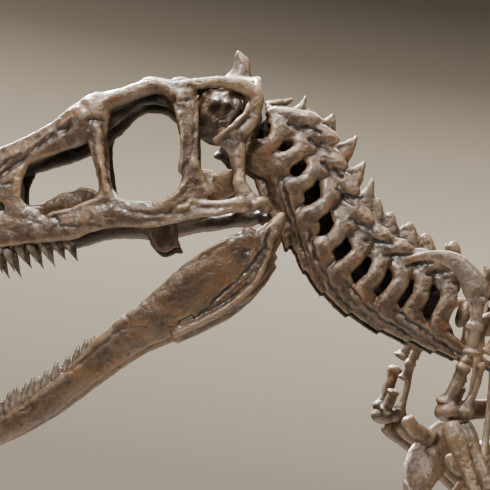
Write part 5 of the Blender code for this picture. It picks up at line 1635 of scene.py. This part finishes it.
@dataclass
class Studio:
    """Camera, soft lights and floor."""
    target: Row = (-0.7288, 0.0, 1.2332)
    distance: float = 2.07
    pitch: float = 7.0
    lens: float = 137.6
    # Backdrop that only the camera sees, with painted shade: brightest in a band low in the view, darker
    # below it and darkest towards the top.
    fade: tuple[tuple[float, Row], ...] = (
        (0.0, (0.43, 0.37, 0.285, 1.0)), (0.12, (0.76, 0.65, 0.49, 1.0)), (0.183, (0.46, 0.39, 0.285, 1.0)),
        (0.222, (0.185, 0.155, 0.115, 1.0)), (0.26, (0.075, 0.064, 0.048, 1.0)))
    slant: Row = (0.15, 0.0, 1.0)
    ambient: float = 0.08

    def area(self, name: str, place: Row, aim: Row, size: float, power: float, colour: Row,
             spread: float = 80.0) -> None:
        """A square soft light.

        Args:
            name: name of the light.
            place: where it hangs, in metres.
            aim: the point it faces.
            size: side of the square.
            power: watts.
            colour: its tint.
            spread: full angle of its beam, in degrees.
        """
        data = bpy.data.lights.new(name, "AREA")
        data.energy = power
        data.size = size
        data.spread = math.radians(spread)
        data.color = colour
        light = bpy.data.objects.new(name, data)
        light.location = place
        light.rotation_euler = (Vector(aim) - Vector(place)).to_track_quat("-Z", "Y").to_euler()
        bpy.context.scene.collection.objects.link(light)

    def build(self, finishes: Finishes) -> None:
        """Place camera, lights, world and floor."""
        data = bpy.data.cameras.new("camera")
        data.lens = self.lens
        data.sensor_width = 36
        camera = bpy.data.objects.new("camera", data)
        angle = math.radians(self.pitch)
        camera.location = (self.target[0], -self.distance * math.cos(angle),
                           self.target[2] - self.distance * math.sin(angle))
        camera.rotation_euler = (math.radians(90) + angle, 0, 0)
        bpy.context.scene.collection.objects.link(camera)
        bpy.context.scene.camera = camera
        self.area("key", (-1.3, -1.8, 2.8), (-0.85, 0, 1.3), 0.4, 15, (1.0, 0.92, 0.82))
        self.area("rim", (-1.5, 1.1, 2.9), (-0.7, 0, 1.25), 0.5, 74, (1.0, 0.97, 0.93))
        self.area("top", (-0.9, -0.2, 3.0), (-0.7, 0, 1.2), 0.35, 20, (1.0, 0.95, 0.88))
        self.area("fill", (-3.0, -2.2, 1.5), (-0.7, 0, 1.2), 1.6, 3, (0.95, 0.95, 1.0))
        self.area("trunk", (0.7, -1.9, 2.9), (0.45, 0, 0.7), 0.8, 12, (1.0, 0.94, 0.86))
        self.area("tail", (1.7, 0.5, 2.9), (1.3, 0, 0.8), 0.8, 20, (1.0, 0.96, 0.9))
        self.area("back", (0.1, 2.2, 2.9), (0.0, 0, 0.8), 0.8, 16, (1.0, 0.96, 0.9))
        world = bpy.data.worlds.new("studio")
        world.use_nodes = True
        tree = world.node_tree
        seen = tree.nodes["Background"]
        height = tree.nodes.new("ShaderNodeVectorMath")
        height.operation = "DOT_PRODUCT"
        height.inputs[1].default_value = self.slant
        tree.links.new(tree.nodes.new("ShaderNodeTexCoord").outputs["Generated"], height.inputs[0])
        ramp = tree.nodes.new("ShaderNodeValToRGB")
        stops = ramp.color_ramp.elements
        stops.remove(stops[1])
        stops[0].color = self.fade[0][1]
        for place, colour in self.fade[1:]:
            stops.new(place).color = colour
        tree.links.new(height.outputs["Value"], ramp.inputs[0])
        tree.links.new(ramp.outputs[0], seen.inputs["Color"])
        dim = tree.nodes.new("ShaderNodeBackground")
        dim.inputs["Color"].default_value = self.fade[1][1]
        dim.inputs["Strength"].default_value = self.ambient
        rays = tree.nodes.new("ShaderNodeLightPath")
        either = tree.nodes.new("ShaderNodeMixShader")
        tree.links.new(rays.outputs["Is Camera Ray"], either.inputs[0])
        tree.links.new(dim.outputs[0], either.inputs[1])
        tree.links.new(seen.outputs[0], either.inputs[2])
        tree.links.new(either.outputs[0], tree.nodes["World Output"].inputs["Surface"])
        bpy.context.scene.world = world
        bpy.ops.object.select_all(action="DESELECT")
        bpy.ops.mesh.primitive_plane_add(size=14, location=(0, 0, 0))
        floor = bpy.context.active_object
        floor.name = "floor"
        floor.data.materials.append(finishes.floor)


LEFT_FINGERS = {
    "finger_1": Finger((-9, -20, -22), (14, -4, 40), (40, -4, 26), (-3, 0, 12), 8.5),
    "finger_2": Finger((1, 0, 4), (8, 2, 58), (-72, 0, 42), (10, 0, 17), 11.5),
    "finger_3": Finger((16, 6, 5), (24, 10, 46), (-14, 8, 52), (10, 0, 8), 8),
}
RIGHT_FINGERS = {
    "finger_1": Finger((2, -20, -22), (16, -4, 36), (40, -4, 22), (-3, 0, 10), 8),
    "finger_2": Finger((1, 0, 4), (26, 0, 44), (48, 0, 58), (-12, 0, 14), 11),
    "finger_3": Finger((16, 6, 5), (32, 6, 38), (44, 8, 26), (-6, 0, 12), 8),
}


def main() -> None:
    """Build every piece around the CAD frame and report it."""
    logging.basicConfig(level=logging.INFO, format="%(message)s")
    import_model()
    finishes = Finishes(BoneFinish().build(), ToothFinish().build(),
                        BoneFinish("claw", body=(0.075, 0.056, 0.042, 1.0),
                                   tan=(0.15, 0.115, 0.088, 1.0)).build(),
                        BaseFinish().build(), FloorFinish().build())
    parts = (
        Skull(), LowerJaw(), Neck(), RibCage(), Sacrum(), Tail(), Hips(), Shoulders(),
        Arm(Side.LEFT, "left", (290, 106, -292), (288, 184, -446), (194, 128, -229), (213, 132, -170),
            LEFT_FINGERS),
        Arm(Side.RIGHT, "right", (256, 106, -250), (300, 205, -352), (146, 130, -224), (162, 132, -157),
            RIGHT_FINGERS),
        Leg(Side.LEFT, "left", (50, 62, 865), (-143, 100, 592), (-5, 98, 252), (-58, 98, 96)),
        Leg(Side.RIGHT, "right", (50, 62, 865), (-34, 100, 540), (202, 98, 262), (196, 98, 98)),
        Stand(), Studio(),
    )
    for part in parts:
        part.build(finishes)
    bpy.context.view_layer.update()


if __name__ == "__main__":
    main()
